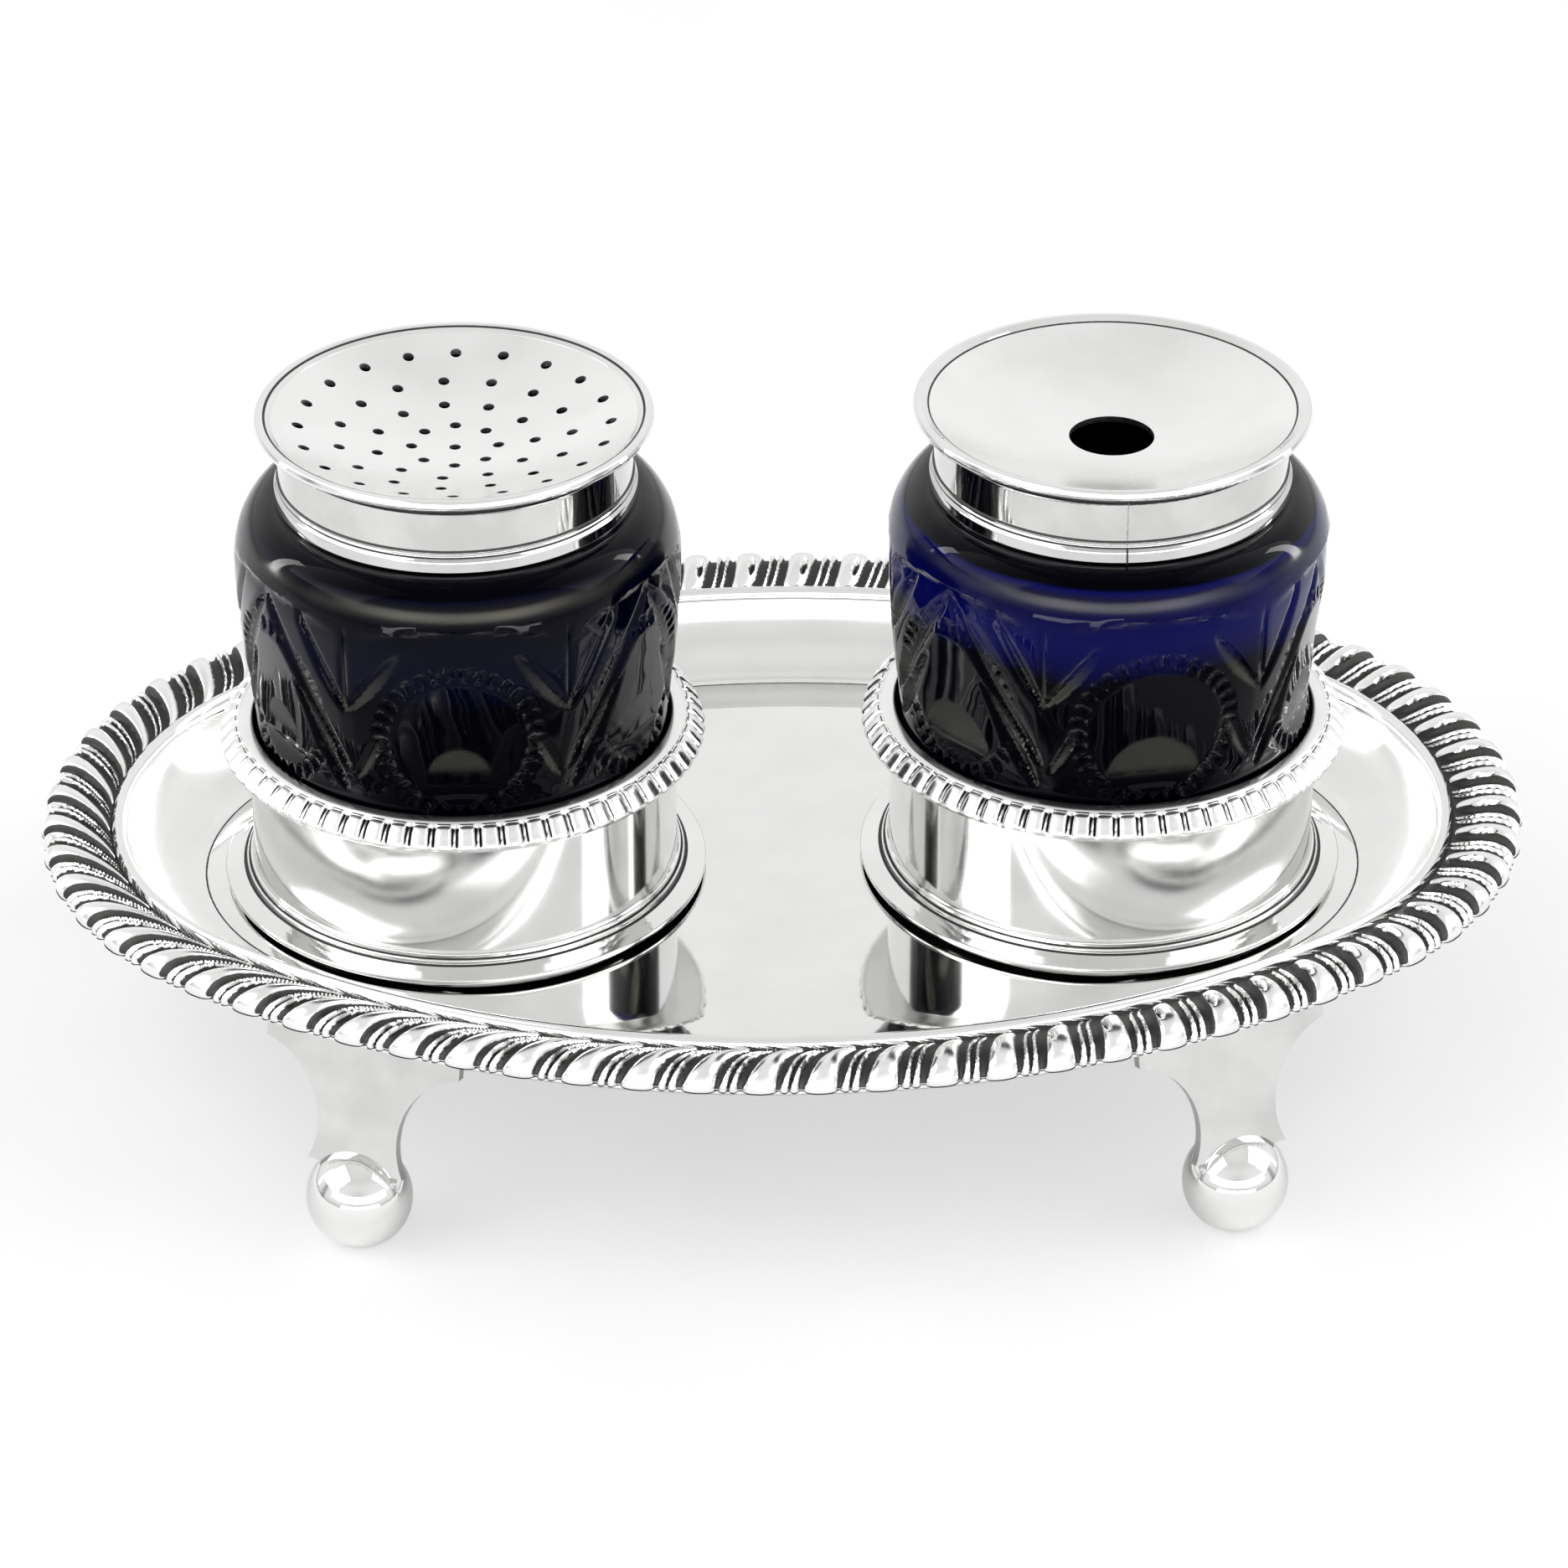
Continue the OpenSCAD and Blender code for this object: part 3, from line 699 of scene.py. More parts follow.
@dataclass(frozen=True)
class Stand:
    """Tray sheet and the wire inside its border."""

    rim: Oval
    bed_z: float = 22.0
    flange_z: float = 29.3
    sheet: float = 1.0
    wall: float = 10.0
    bead_at: float = 9.3
    bead_w: float = 2.2
    bead_h: float = 2.1
    flange_in: float = 0.8  # the flange stops this far inside the border's outer edge
    arc_steps: int = 15

    def tray(self) -> Thing:
        """Raised sheet: a flat bed, a wall that is an arc which starts level, and a flange.

        The section is carried round the rim and closed at the middle of the bed. A dark line
        follows the crease at the foot of the wall.

        Returns:
            The linked object.
        """
        rise = self.flange_z - self.bed_z
        bed_in = self.bead_at + self.bead_w + self.wall
        turn = 2 * math.atan2(rise, self.wall)
        arc_r = self.wall / math.sin(turn)
        under = math.acos((self.bed_z + arc_r - self.flange_z + self.sheet) / (arc_r + self.sheet))
        a, b = np.linspace(0, turn, self.arc_steps), np.linspace(under, 0, self.arc_steps)
        up = np.stack([bed_in - arc_r * np.sin(a), self.bed_z + arc_r * (1 - np.cos(a))], 1)
        low_r = arc_r + self.sheet
        down = np.stack([bed_in - low_r * np.sin(b), self.bed_z + arc_r - low_r * np.cos(b)], 1)
        low = self.bed_z - self.sheet
        crease = [[bed_in + 8, self.bed_z], [bed_in + 0.55, self.bed_z], [bed_in + 0.3, self.bed_z - 0.1]]
        edge = [[self.flange_in, self.flange_z], [self.flange_in, self.flange_z - 0.35],
                [2 * self.flange_in, self.flange_z - self.sheet]]
        section = np.vstack([crease, up, edge, down, [[bed_in + 0.3, low], [bed_in + 8, low]]])
        grid = self.rim.ring(section)
        middle = np.zeros((len(grid), 1, 3))
        middle[..., 2] = self.bed_z
        grid = np.concatenate([middle, grid, middle - [0, 0, self.sheet]], 1)
        dark, spun = np.zeros(grid.shape[:2]), np.zeros(grid.shape[:2])
        dark[:, len(crease)] = 0.85
        spun[:, len(crease) + 1:len(crease) + 1 + len(up)] = 1.0
        return piece("tray_sheet", grid.reshape(-1, 3), quads_of(len(grid), grid.shape[1], True, False),
                     {"groove": dark, "spun": spun}, sharp=28)

    def wire(self) -> Thing:
        """Half round wire inside the border: a half ellipse closed by a flat back.

        Returns:
            The linked object.
        """
        a = np.linspace(0, np.pi, 13)
        half = self.bead_w / 2
        arch = np.stack([self.bead_at + half * (1 - np.cos(a)), self.flange_z + self.bead_h * np.sin(a)], 1)
        grid = self.rim.ring(arch)
        quads = quads_of(len(grid), grid.shape[1], True, True)
        return piece("border_wire", grid.reshape(-1, 3), quads, sharp=60)


@dataclass(frozen=True)
class PotFrame:
    """Frame that holds a bottle: a tube, a spreading foot and a gadrooned collar."""

    pot: str
    centre_x: float
    bed_z: float = 22.0
    wall_r: float = 28.6
    wall_t: float = 0.6
    height: float = 23.6
    foot_r: float = 32.5
    collar_r: float = 32.5
    collar_h: float = 3.1
    lobes: int = 64
    steps_a_lobe: int = 14
    cuts_at: tuple[float, float] = (0.67, 0.88)
    cut_deep: float = 0.6
    lobe_deep: float = 0.3
    nick_at: float = 0.43
    nick_deep: float = 0.12

    def wall(self) -> Thing:
        """Tube of thin sheet.

        Returns:
            The linked object.
        """
        low, high, inner = self.bed_z, self.bed_z + self.height, self.wall_r - self.wall_t
        outline = rounded([(r, z, 0.02) for r, z in ((inner, low), (self.wall_r, low), (self.wall_r, high),
                                                     (inner, high))])
        return turned(f"{self.pot}_holder_wall", outline, self.centre_x, 256)

    def foot(self) -> Thing:
        """Spreading foot: a bead against the wall, a shallow step and a thin free edge.

        Returns:
            The linked object.
        """
        w, z, edge = self.wall_r, self.bed_z, self.foot_r
        outline = rounded([(w, z, 0.02), (w + 1.2, z, 0.1), (w + 1.8, z + 0.8, 0.2), (edge, z + 0.8, 0.2),
                           (edge, z + 1.45, 0.25), (w + 2.4, z + 1.85, 0.5), (w + 1.05, z + 2.25, 0.12),
                           (w + 1.0, z + 2.75, 0.15), (w + 0.55, z + 2.8, 0.1), (w + 0.5, z + 3.4, 0.15),
                           (w + 0.25, z + 3.5, 0.1), (w, z + 3.9, 0.05)])
        lines = [DarkLine(z + 2.2, 0.05), DarkLine(z + 2.85, 0.05)]
        return turned(f"{self.pot}_holder_foot", outline, self.centre_x, 256, lines)

    def collar(self) -> Thing:
        """Collar: a plain lip, then lobes that roll over the edge with a thin reed between them.

        Each point of the section is pushed inwards by a depth. It is deep in the wedge-shaped
        cuts at cuts_at of a pitch, widest at their inner end, and it grows as the cube of the
        distance from a lobe's middle. A fine nick, a bell curve, runs across each lobe's root.

        Returns:
            The linked object.
        """
        top = self.bed_z + self.height
        inner, edge = self.wall_r - self.wall_t, self.collar_r
        section = smooth_curve([
            (inner, top), (inner + 0.05, top + 0.45), (inner + 0.5, top + 0.62), (inner + 1.4, top + 0.55),
            (inner + 1.9, top + 0.3), (inner + 2.2, top + 0.32), (inner + 3.1, top - 0.15),
            (edge - 0.6, top - 1.05), (edge - 0.12, top - 1.6), (edge, top - 2.1), (edge - 0.5, top - 2.75),
            (edge - 1.2, top - 3.05), (self.wall_r, top - self.collar_h)], 52)
        share = np.linspace(0, 1, len(section))[None]
        lobe_zone = smoothstep(0.34, 0.4, share) * smoothstep(0.86, 0.74, share)
        around = self.lobes * self.steps_a_lobe
        phase = (np.arange(around) / self.steps_a_lobe % 1.0)[:, None]
        wedge = 0.045 * smoothstep(0.88, 0.34, share) + 0.02
        cut = np.min([np.abs(phase - at) for at in self.cuts_at], axis=0)
        depth = (1 - smoothstep(0.5, 1.0, cut / wedge)) * lobe_zone
        off = np.abs((phase + 0.225) % 1.0 - 0.5) / 0.39
        lobe = self.lobe_deep * np.clip(off, 0, 1) ** 3 * lobe_zone
        nick = np.exp(-((share - self.nick_at) / 0.012) ** 2) * (off < 0.75)
        slope = np.gradient(section, axis=0)
        inward = np.stack([slope[:, 1], -slope[:, 0]], 1) / np.hypot(*slope.T)[:, None]
        pushed = self.cut_deep * depth + lobe + self.nick_deep * nick
        outline = section[None] + pushed[..., None] * inward[None]
        angle = (np.arange(around) * 2 * np.pi / around)[:, None]
        grid = np.stack([self.centre_x + outline[..., 0] * np.cos(angle), outline[..., 0] * np.sin(angle),
                         outline[..., 1]], -1)
        quads = quads_of(around, len(section), True, True)
        return piece(f"{self.pot}_holder_collar", grid.reshape(-1, 3), quads,
                     {"groove": np.maximum(depth, 0.8 * nick)}, sharp=60)


# ---- Bottles and caps ----


@dataclass(frozen=True)
class CutBottle:
    """Cut glass bottle: flat panels, round lunettes with serrated rims and fans of blade cuts.

    Heights are above the table. The outer wall runs from foot_z to full_z, plain up to flare_z.
    """

    pot: str
    centre_x: float
    base_z: float = 22.0
    base_r: float = 27.6
    foot_z: float = 23.0
    flare_z: float = 47.6
    full_z: float = 70.2
    glass_r: float = 29.45
    shoulder_z: float = 79.2
    ledge: float = 1.6
    neck_r: float = 22.4
    neck_h: float = 6.0
    glass_t: float = 4.0
    floor_t: float = 5.0
    neck_t: float = 2.4
    bore_z: float = 76.2
    around: int = 504
    rows: int = 140
    repeats: int = 6
    turn: float = 0.0
    # Height below which the glass gets painted shade.
    painted_shade_z: float = 69.0
    moon_r: float = 7.0
    moon_top: float = 55.5
    # Height of a painted highlight ring round the shoulder.
    arris_z: float = 75.5
    lunette_z: float = 56.5
    lunette_r: float = 9.3
    lunette_deep: float = 0.6
    notch_r: float = 10.8
    notch_half: float = 1.15
    notches: int = 34
    notch_wall_r: float = 29.0  # the wall's radius where the notches are set out
    panel_foot: float = 46.0
    panel_top: float = 73.8
    panel_half: float = 28.0  # in degrees
    panel_arc: float = 1.6
    panel_share: float = 0.24
    deepest: float = 1.6
    # Foot along the wall and height, top along the wall and height, half width and depth.
    blades: tuple[tuple[float, ...], ...] = (
        (0.2, 51.0, 15.6, 72.6, 1.9, 0.9), (1.0, 47.5, 10.5, 62.0, 1.7, 0.9),
        (-0.2, 60.0, 8.5, 73.0, 1.3, 0.7), (-0.2, 60.5, -7.7, 70.0, 1.3, 0.6),
        (-0.8, 50.0, -5.0, 58.0, 1.0, 0.5), (0.0, 60.5, 0.0, 72.8, 0.5, 0.4))

    def radius(self, z: Array) -> Array:
        """Radius of the uncut glass: straight in the frame, then a quarter sine to full width."""
        share = np.clip((z - self.flare_z) / (self.full_z - self.flare_z), 0, 1)
        return self.base_r + (self.glass_r - self.base_r) * np.sin(np.pi / 2 * share)

    def bearing(self, angle: Array) -> tuple[Array, Array]:
        """Angle to the nearest of every other lunette, and to the nearest lunette of all."""
        apart = 2 * np.pi / self.repeats
        pair = np.abs((angle - np.radians(self.turn) + apart) % (2 * apart) - apart)
        return pair, np.minimum(pair, apart - pair)

    def lunette(self, off: Array, z: Array) -> Array:
        """Depth of a shallow bowl inside a ring of fine notches, which follow a cosine.

        Args:
            off: angle from the lunette's middle.
            z: height above the table.

        Returns:
            The depth in millimetres.
        """
        rho = np.hypot(off * self.glass_r, z - self.lunette_z)
        beta = np.arctan2(z - self.lunette_z, off * self.notch_wall_r)
        bowl = self.lunette_deep * np.clip(1 - (rho / self.lunette_r) ** 2, 0, 1)
        notch = smoothstep(-0.3, 0.5, np.cos(self.notches * beta))
        return np.maximum(bowl, (0.1 + 0.45 * notch) * dome((rho - self.notch_r) / self.notch_half))

    def cuts(self, angle: Array, z: Array) -> tuple[Array, Array]:
        """Depth of the cuts at an angle from the front and a height.

        Blade: a V along a line from the foot of the fan between two lunettes, with a lens-shaped
        outline; long blades lean over every other lunette and short ones over the rest. Panel: a
        shallow flat over each lunette, which runs out in an arc under the shoulder.

        Args:
            angle: angle round the axis, 0 at the front.
            z: height above the table.

        Returns:
            The depth in millimetres, and a painted highlight on one side of each blade.
        """
        pair, off = self.bearing(angle)
        depth = self.lunette(off, z)
        across = (pair - np.pi / self.repeats) * self.glass_r
        painted_highlight = np.zeros_like(depth)
        for foot_x, foot_z, top_x, top_z, half, deep in self.blades:
            long = math.hypot(top_x - foot_x, top_z - foot_z)
            ux, uz = (top_x - foot_x) / long, (top_z - foot_z) / long
            s = ((across - foot_x) * ux + (z - foot_z) * uz) / long
            t = (across - foot_x) * uz - (z - foot_z) * ux
            lens = half * np.clip(4 * s * (1 - s), 0, 1) ** 0.6
            depth = np.maximum(depth, deep * np.clip(1 - np.abs(t) / np.maximum(lens, 1e-3), 0, 1)
                               * np.minimum(1, lens / half * 1.5))
            painted_highlight = np.maximum(painted_highlight, (t < 0) * (t > -lens) * smoothstep(0.95, 0.2, s))
        half_panel = np.radians(self.panel_half)
        chord = self.glass_r * (1 - np.cos(half_panel) / np.cos(np.minimum(off, half_panel)))
        arc = self.panel_top - self.panel_arc * (off / half_panel) ** 2 - z
        panel = chord * smoothstep(0.0, 0.8, arc) * smoothstep(self.panel_foot, self.panel_foot + 4, z)
        return np.maximum(depth, 0) + self.panel_share * panel, painted_highlight

    def moon(self, angle: Array, z: Array) -> Array:
        """Painted half-moon highlight low in each lunette: a disc of moon_r cut off near its foot."""
        off = self.bearing(angle)[1]
        far = np.hypot(off * self.glass_r, z - self.moon_top + self.moon_r) - self.moon_r
        return smoothstep(-0.3, 0.3, -far) * smoothstep(-1.0, 1.0, z - self.moon_top + 0.75 * self.moon_r)

    def build(self) -> Thing:
        """Outer wall with its cuts, shoulder, neck and the hollow inside, as one closed shell.

        Returns:
            The linked object.
        """
        low, neck_top, hollow_z = self.base_z, self.shoulder_z + self.neck_h, self.base_z + self.floor_t
        wall_z = np.linspace(self.foot_z, self.full_z, self.rows)
        drop = self.glass_r - self.neck_r - self.ledge
        bend = np.radians(np.linspace(3, 90, 22))
        shoulder = np.stack([self.glass_r - drop * (1 - np.cos(bend)),
                             self.full_z + (self.shoulder_z - self.full_z) * np.sin(bend)], 1)
        foot = np.array([(0, low), (25.6, low), (26.6, low), (27.2, low + 0.25), (27.5, low + 0.6)])
        outer = np.vstack([foot, np.stack([self.radius(wall_z), wall_z], 1), shoulder])
        inner_r, bore = self.base_r - self.glass_t, self.neck_r - self.neck_t
        neck = [(self.neck_r, self.shoulder_z), (self.neck_r, neck_top), (bore, neck_top),
                (bore, self.bore_z)]
        inside = smooth_curve([(inner_r, z) for z in (71.2, 60.0, 45.0, 31.0)], 12)
        bottom = [(inner_r - 0.6, hollow_z + 2.0), (inner_r - 2.6, hollow_z + 0.2), (inner_r - 5, hollow_z),
                  (0, hollow_z)]
        outline = np.vstack([outer, neck, inside, bottom])
        angle = (np.arange(self.around) * 2 * np.pi / self.around)[:, None]
        angle, z = np.broadcast_arrays(angle, outline[None, :, 1])
        is_wall = np.zeros(len(outline))
        is_wall[len(foot):len(outer) - 8] = 1.0
        depth, blade = self.cuts(angle, z)
        r = outline[None, :, 0] - np.minimum(depth * is_wall, self.deepest)
        grid = np.stack([self.centre_x + r * np.sin(angle), -r * np.cos(angle), z], -1)
        # Painted shade: the glass goes dark low on the wall, on the ledge under the cap's band, high
        # inside, in the neck and on the bottom.
        painted_shade_out = np.maximum(smoothstep(-8, 8, self.painted_shade_z - outer[:, 1]),
                                 smoothstep(76.6, 77.8, outer[:, 1]))
        painted_shade_in = np.maximum(smoothstep(-5, 5, self.painted_shade_z - inside[:, 1]),
                                smoothstep(68, 70, inside[:, 1]))
        painted_shade = np.concatenate([painted_shade_out, np.ones(len(neck)), painted_shade_in, np.ones(len(bottom))])
        # Painted highlights: a ring round the shoulder, a half moon in each lunette and one side of each
        # blade.
        arris = 0.8 * np.exp(-((z - self.arris_z) / 0.9) ** 2)
        painted_highlight = np.max([self.moon(angle, z), blade, arris], axis=0) * is_wall
        quads = quads_of(self.around, len(outline), True, False)
        return piece(f"{self.pot}_glass", grid.reshape(-1, 3), quads,
                     {"painted_shade": np.broadcast_to(painted_shade, z.shape), "painted_highlight": painted_highlight}, sharp=30)


@dataclass(frozen=True)
class Cap:
    """Push-on cap: a band with a bead and reeds, a rolled rim and a dish."""

    pot: str
    centre_x: float
    shoulder_z: float = 79.2
    band_r: float = 23.3
    band_t: float = 0.6
    band_h: float = 10.2
    rim_r: float = 26.2
    dish_r: float = 24.0
    line_r: float = 24.8
    seam: float | None = None

    def band(self) -> Thing:
        """Band: a plain bead at its foot, two fine raised lines and a flare up to the rim.

        Returns:
            The linked object.
        """
        z, r = self.shoulder_z, self.band_r
        inner, top = r - self.band_t, self.shoulder_z + self.band_h
        outline = rounded([
            (inner, z, 0.05), (r + 0.35, z, 0.2), (r + 0.62, z + 0.5, 0.4), (r + 0.55, z + 1.9, 0.4),
            (r + 0.1, z + 2.35, 0.1), (r + 0.25, z + 2.6, 0.12), (r + 0.05, z + 2.85, 0.08),
            (r + 0.22, z + 3.15, 0.12), (r, z + 3.4, 0.1), (r, top - 1.7, 1.2), (r + 0.5, top - 0.6, 0.8),
            (self.dish_r + 0.9, top, 0.05), (self.dish_r - 0.07, top, 0.02), (inner, top - 0.75, 0.2)])
        # The two fine dark lines sit in the hollows beside the raised lines; the wide one under the rim is
        # painted shade.
        lines = [DarkLine(z + 2.42, 0.09), DarkLine(z + 3.3, 0.09), DarkLine(top - 0.85, 0.22)]
        return turned(f"{self.pot}_band", outline, self.centre_x, 256, lines, self.seam)

    def rim(self) -> Thing:
        """Rolled rim with the flat lip inside it.

        Returns:
            The linked object.
        """
        z, e = self.shoulder_z + self.band_h, self.rim_r
        outline = rounded([(self.dish_r, z, 0.02), (e - 1.3, z, 0.3), (e - 0.25, z + 0.3, 0.4),
                           (e, z + 0.9, 0.35), (e - 0.35, z + 1.6, 0.4), (e - 1.0, z + 1.6, 0.3),
                           (e - 1.75, z + 1.25, 0.2), (self.dish_r, z + 1.0, 0.05)])
        lines = [DarkLine(self.line_r, 0.09, along=0)]
        return turned(f"{self.pot}_rim", outline, self.centre_x, 256, lines)


# ---- Studio ----


@dataclass(frozen=True)
class Studio:
    """Pale floor, a white tent with darker gaps for the silver to mirror, two soft lamps, camera."""

    target: tuple[float, float, float] = (0.0001, 0.0, 0.0336)
    distance: float = 0.8525
    azimuth: float = -2.06
    elevation: float = 30.47
    roll: float = 0.11
    lens: float = 144.9
    sensor: float = 36.0
    strip: float = 5.0
    glow: float = 0.5

    def camera(self) -> None:
        """Places the camera on a sphere round the target and turns it about its axis by the roll.

        Its place is target + distance * (sin a cos e, -cos a cos e, sin e), with a the azimuth
        and e the elevation.
        """
        a, e = math.radians(self.azimuth), math.radians(self.elevation)
        away = Vector((math.sin(a) * math.cos(e), -math.cos(a) * math.cos(e), math.sin(e)))
        data = bpy.data.cameras.new("camera")
        data.lens, data.sensor_width, data.clip_start = self.lens, self.sensor, 0.01
        made = bpy.data.objects.new("camera", data)
        made.matrix_world = (Matrix.Translation(Vector(self.target) + self.distance * away)
                             @ away.to_track_quat("Z", "Y").to_matrix().to_4x4()
                             @ Matrix.Rotation(math.radians(self.roll), 4, "Z"))
        bpy.context.scene.collection.objects.link(made)
        bpy.context.scene.camera = made

    def floor(self) -> None:
        """Round pale floor at the height of the feet; the camera sees half of it glow white."""
        angle = np.linspace(0, 2 * np.pi, 96, endpoint=False)
        rings = np.array([0.0, 300.0, 1500.0, 6000.0])[:, None, None]
        flat = np.stack([np.cos(angle), np.sin(angle), 0 * angle], -1)[None] * rings
        quads = quads_of(len(rings), len(angle), False, True)[:, ::-1]
        made = piece("floor", flat.reshape(-1, 3), quads)
        material, add = new_material("white_paper_sweep")
        place = add("TexCoord").outputs["Object"]
        fibre = add("TexNoise", {"Vector": place, "Scale": 1 / (40 * MM)})
        colour = add("ValToRGB", {0: fibre}, stops=[(0.3, "FBFBFB"), (0.7, "FEFEFE")])
        paper = add("BsdfDiffuse", {"Color": colour})
        glow = add("Emission", {"Color": colour})
        seen = add("LightPath").outputs["Is Camera Ray"]
        share = add("Math", {0: seen, 1: self.glow}, operation="MULTIPLY")
        shader = add("MixShader", {0: share, 1: paper, 2: glow})
        add("OutputMaterial", {"Surface": shader})
        dress(made, material)

    def lamp(self, name: str, at: tuple[float, float, float], size: tuple[float, float], power: float,
             card: bool = False) -> None:
        """Soft rectangular lamp that looks at the object.

        Args:
            name: the lamp's name.
            at: its place.
            size: its width and height.
            power: its watts.
            card: whether only mirrors see it.
        """
        data = bpy.data.lights.new(name, "AREA")
        data.shape, data.size, data.size_y, data.energy = "RECTANGLE", *size, power
        made = bpy.data.objects.new(name, data)
        aim = (Vector((0, 0, 0.04)) - Vector(at)).to_track_quat("-Z", "Y")
        made.matrix_world = Matrix.Translation(at) @ aim.to_matrix().to_4x4()
        made.visible_camera, made.visible_diffuse = False, not card
        bpy.context.scene.collection.objects.link(made)

    @staticmethod
    def tent(add: Adder, turn: Node, height: bpy.types.NodeSocket) -> Node:
        """Colour of the tent: its panels round the turn, white overhead, times a ramp upwards.

        Args:
            add: add_node for the world's tree.
            turn: share of a turn; 0.5 looks along +Y, and 0 and 1 look back past the camera.
            height: sine of the elevation.

        Returns:
            The node that gives the colour.
        """
        panels = add("ValToRGB", {0: turn}, stops=[(0.0, "E2E2E2"), (0.04, "EEEEEE"), (0.09, "FFFFFF"),
                     (0.215, "FFFFFF"), (0.24, "A8A8A8"), (0.27, "FFFFFF"), (0.73, "FFFFFF"),
                     (0.76, "A8A8A8"), (0.785, "FFFFFF"), (0.91, "FFFFFF"), (0.96, "EEEEEE"),
                     (1.0, "E2E2E2")])
        up = add("ValToRGB", {0: height}, stops=[(0.0, "CCCCCC"), (0.12, "F4F4F4"), (0.38, "FFFFFF"),
                 (0.52, "FAFAFA"), (0.7, "F8F8F8"), (0.88, "E6E6E6"), (1.0, "F0F0F0")])
        over = add("MapRange", {"Value": height, "From Min": 0.45, "From Max": 0.8})
        side = add("Mix", {"Factor": over, "A": panels, "B": WHITE}, data_type="RGBA")
        return add("Mix", {"Factor": 1.0, "A": side, "B": up}, data_type="RGBA", blend_type="MULTIPLY")

    def world(self) -> None:
        """White to the camera; a pale tent with grey gaps to mirrors and glass; even to the rest.

        A long soft light over the camera, which only mirrors and glass see, adds to its strength.
        """
        made = bpy.data.worlds.new("tent")
        made.use_nodes = True
        made.node_tree.nodes.clear()
        add = partial(add_node, made.node_tree)
        way = add("TexCoord").outputs["Generated"]
        split = add("SeparateXYZ", {0: way}).outputs
        around = add("Math", {0: split["X"], 1: split["Y"]}, operation="ARCTAN2")
        turn = add("MapRange", {"Value": around, "From Min": -math.pi, "From Max": math.pi})
        path = add("LightPath").outputs
        mirror = add("Math", {0: path["Is Glossy Ray"], 1: path["Is Transmission Ray"]},
                     operation="MAXIMUM")
        tent = self.tent(add, turn, split["Z"])
        plain = add("Mix", {"Factor": mirror, "A": (0.8, 0.8, 0.8, 1.0), "B": tent}, data_type="RGBA")
        seen = add("Mix", {"Factor": path["Is Camera Ray"], "A": plain, "B": WHITE}, data_type="RGBA")
        tall = add("ValToRGB", {0: split["Z"]}, stops=[(0.2, "000000"), (0.27, "FFFFFF"), (0.4, "FFFFFF"),
                   (0.48, "000000")])
        wide = add("ValToRGB", {0: turn}, stops=[(0.08, "FFFFFF"), (0.19, "000000"), (0.81, "000000"),
                   (0.92, "FFFFFF")])
        strip = add("Math", {0: tall, 1: wide}, operation="MULTIPLY")
        strip = add("Math", {0: strip, 1: mirror}, operation="MULTIPLY")
        strength = add("Math", {0: strip, 1: self.strip, 2: 1.0}, operation="MULTIPLY_ADD")
        shader = add("Background", {"Color": seen, "Strength": strength})
        add("OutputWorld", {"Surface": shader})
        bpy.context.scene.world = made

    def build(self) -> None:
        """Makes the whole studio."""
        self.camera()
        self.floor()
        self.world()
        self.lamp("lamp_left", (-0.9, -0.2, 0.9), (1.0, 1.0), 5.0)
        self.lamp("lamp_right", (0.95, 0.0, 0.9), (1.0, 1.0), 4.0)
        self.lamp("card_low", (0.0, -0.75, 0.05), (1.2, 0.07), 3.0, card=True)
        for name, x in (("card_left", -0.9), ("card_right", 0.9)):
            self.lamp(name, (x, 0.25, 0.4), (0.1, 0.6), 2.5, card=True)
        bpy.context.scene.view_settings.view_transform = "Standard"


def build_stand(stand: Stand, border: Border, polished: Material, cast: Material) -> None:
    """Seats the tray, its wire and the four quarters of the border.

    Args:
        stand: the tray's sizes.
        border: the border's sizes.
        polished: finish of the tray and its wire.
        cast: finish of the border.
    """
    seat(stand.tray(), "stand", polished, "tray")
    seat(stand.wire(), "stand", polished, "rim_bead")
    for k, corner in enumerate(("front_right", "rear_right", "rear_left", "front_left")):
        quarter = border.quarter(f"border_{corner}", 0.25 * k)
        seat(quarter, "stand", cast, f"gadroon_{corner}")


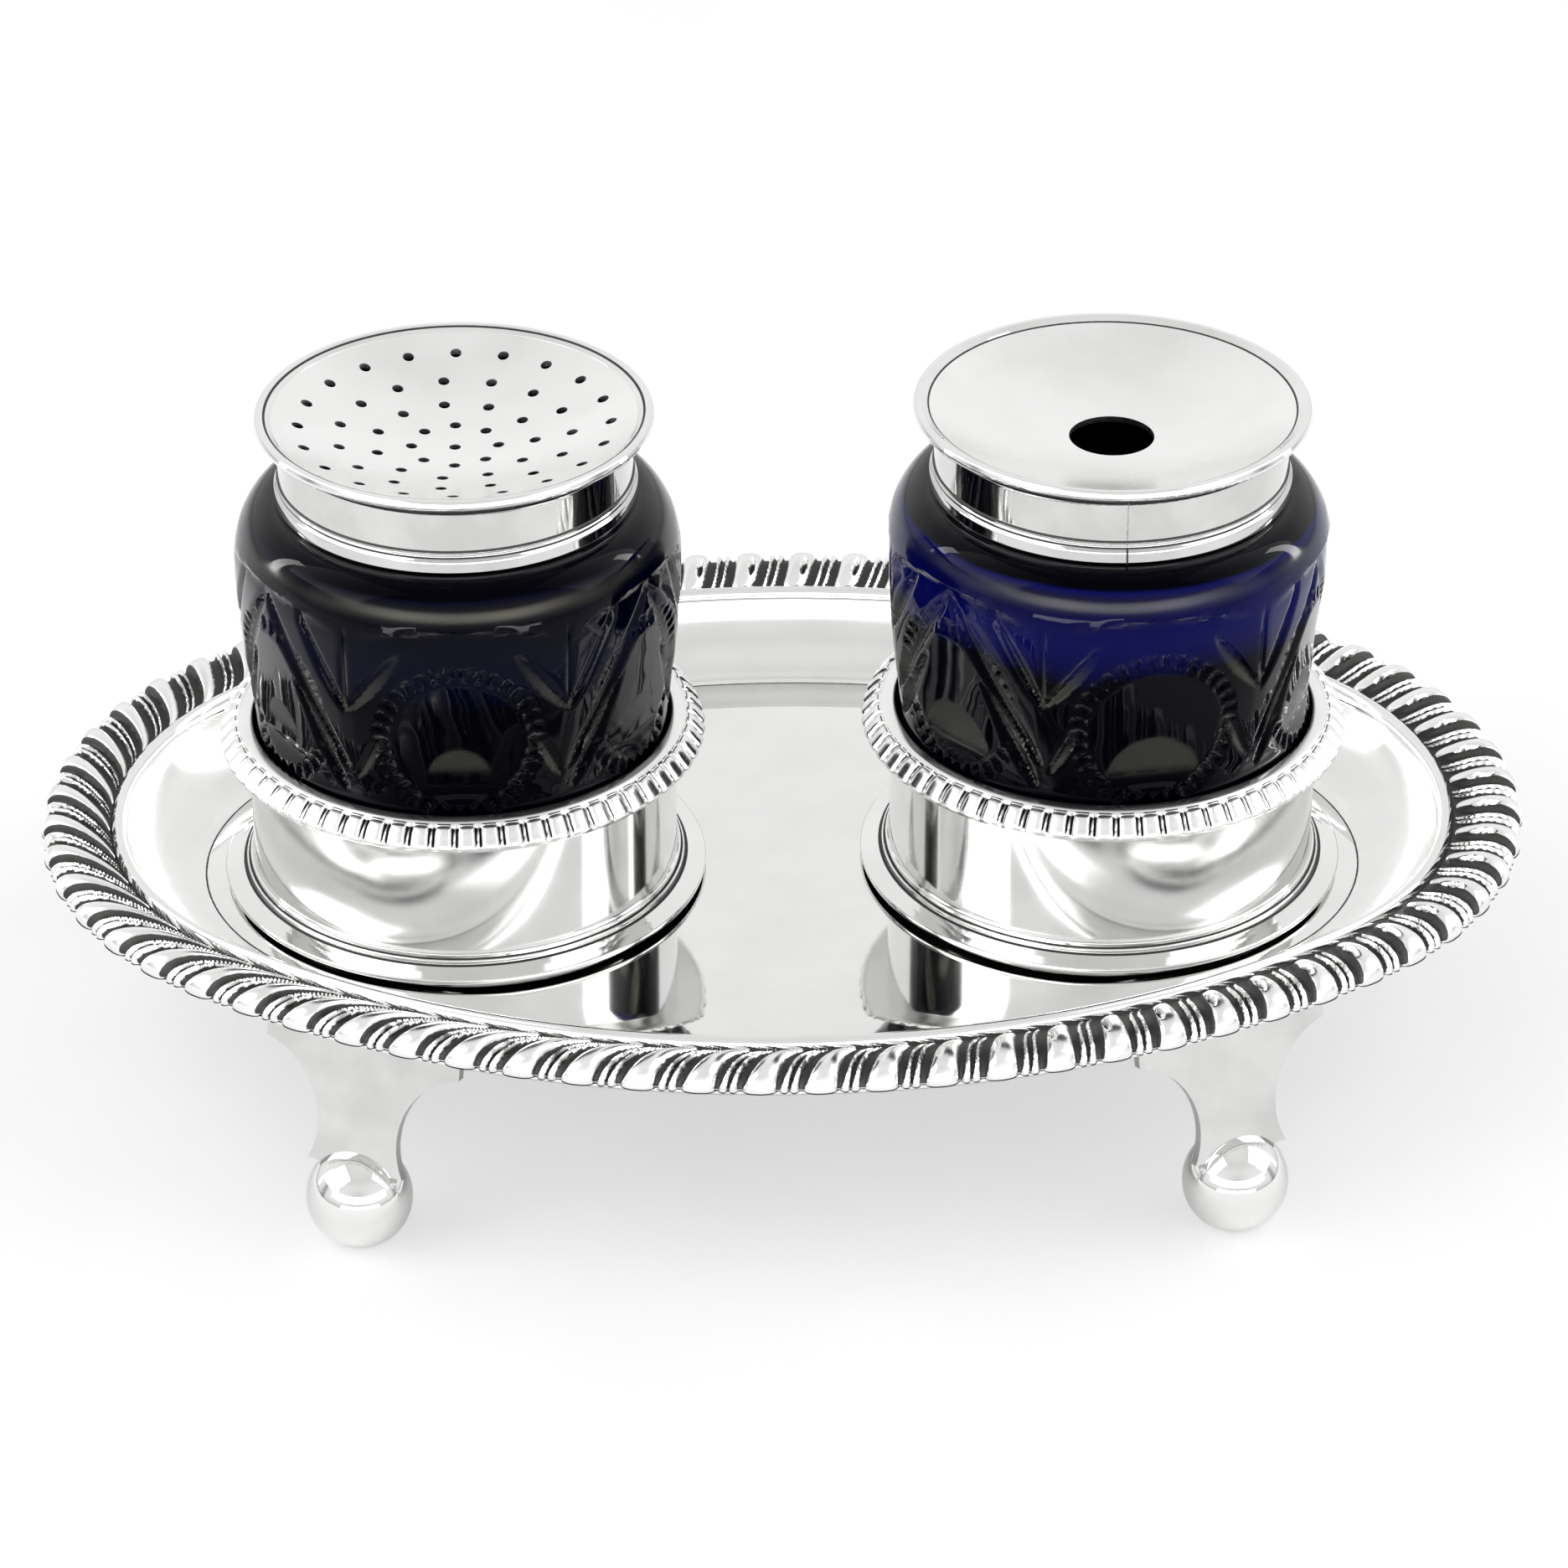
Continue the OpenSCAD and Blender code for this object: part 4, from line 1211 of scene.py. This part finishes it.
def main() -> None:
    """Builds the studio, then the stand, the frames, the bottles and the caps."""
    logging.basicConfig(level=logging.INFO, format="%(name)s: %(message)s")
    Studio().build()
    # Hand polished: a mirror, slightly wavy.
    polished = SilverFinish("polished_sterling_silver").build()
    # Cast and left matt between the strokes of the wheel: soft pale crowns over grey grooves, with painted
    # shade on the lobes' flanks.
    cast = SilverFinish("cast_silver_oxidised_in_the_grooves", colour="F3F3F2", worn="EDEDEC",
                        roughness=0.24, ripple=0.0).build()
    # Spun and not buffed: pale, without a clear reflection.
    satin = SilverFinish("satin_silver_spun", colour="F4F4F3", worn="F0F0EF", roughness=0.24).build()
    # Drawn through a ring: a mirror that is a little blurred.
    drawn = SilverFinish("drawn_silver_tube", roughness=0.09).build()
    # Rolled thin: a mirror that wavers, its colour painted greyer as painted shade.
    rolled = SilverFinish("rolled_silver_band_painted_grey", colour="D9D9D8", worn="CBCBCA", roughness=0.06,
                          ripple_mm=12.0, ripple=0.12).build()
    dark_glass = CobaltGlass("dark_cobalt_glass_cut", "090D34").build()
    blue_glass = CobaltGlass("cobalt_glass_cut", "12188E").build()

    rim = Oval()
    build_stand(Stand(rim), Border(rim), polished, cast)
    for name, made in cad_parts.items():
        if name.startswith("leg_"):
            dress(made, rolled)
        elif name.startswith("ball_"):
            dress(made, polished)
        elif name.endswith("_cap_dish"):
            dress(made, satin)

    pots = ((PotFrame("pounce", -POT_X), CutBottle("pounce", -POT_X, painted_shade_z=66.0, moon_r=4.6),
             Cap("pounce", -POT_X), dark_glass, Slot.DARK_COBALT),
            (PotFrame("ink", POT_X), CutBottle("ink", POT_X, turn=9.0),
             Cap("ink", POT_X, line_r=24.1, seam=0.6), blue_glass, Slot.COBALT))
    for holder, bottle, cap, glass, glass_slot in pots:
        pot = holder.pot
        seat(holder.wall(), "stand", drawn, f"{pot}_frame_wall")
        seat(holder.foot(), "stand", polished, f"{pot}_frame_foot")
        seat(holder.collar(), "stand", cast, f"{pot}_frame_border")
        seat(bottle.build(), f"{pot}_pot", glass, f"{pot}_bottle")
        seat(cap.band(), f"{pot}_cap", rolled, f"{pot}_cap_band")
        seat(cap.rim(), f"{pot}_cap", polished, f"{pot}_cap_rim")


if __name__ == "__main__":
    main()
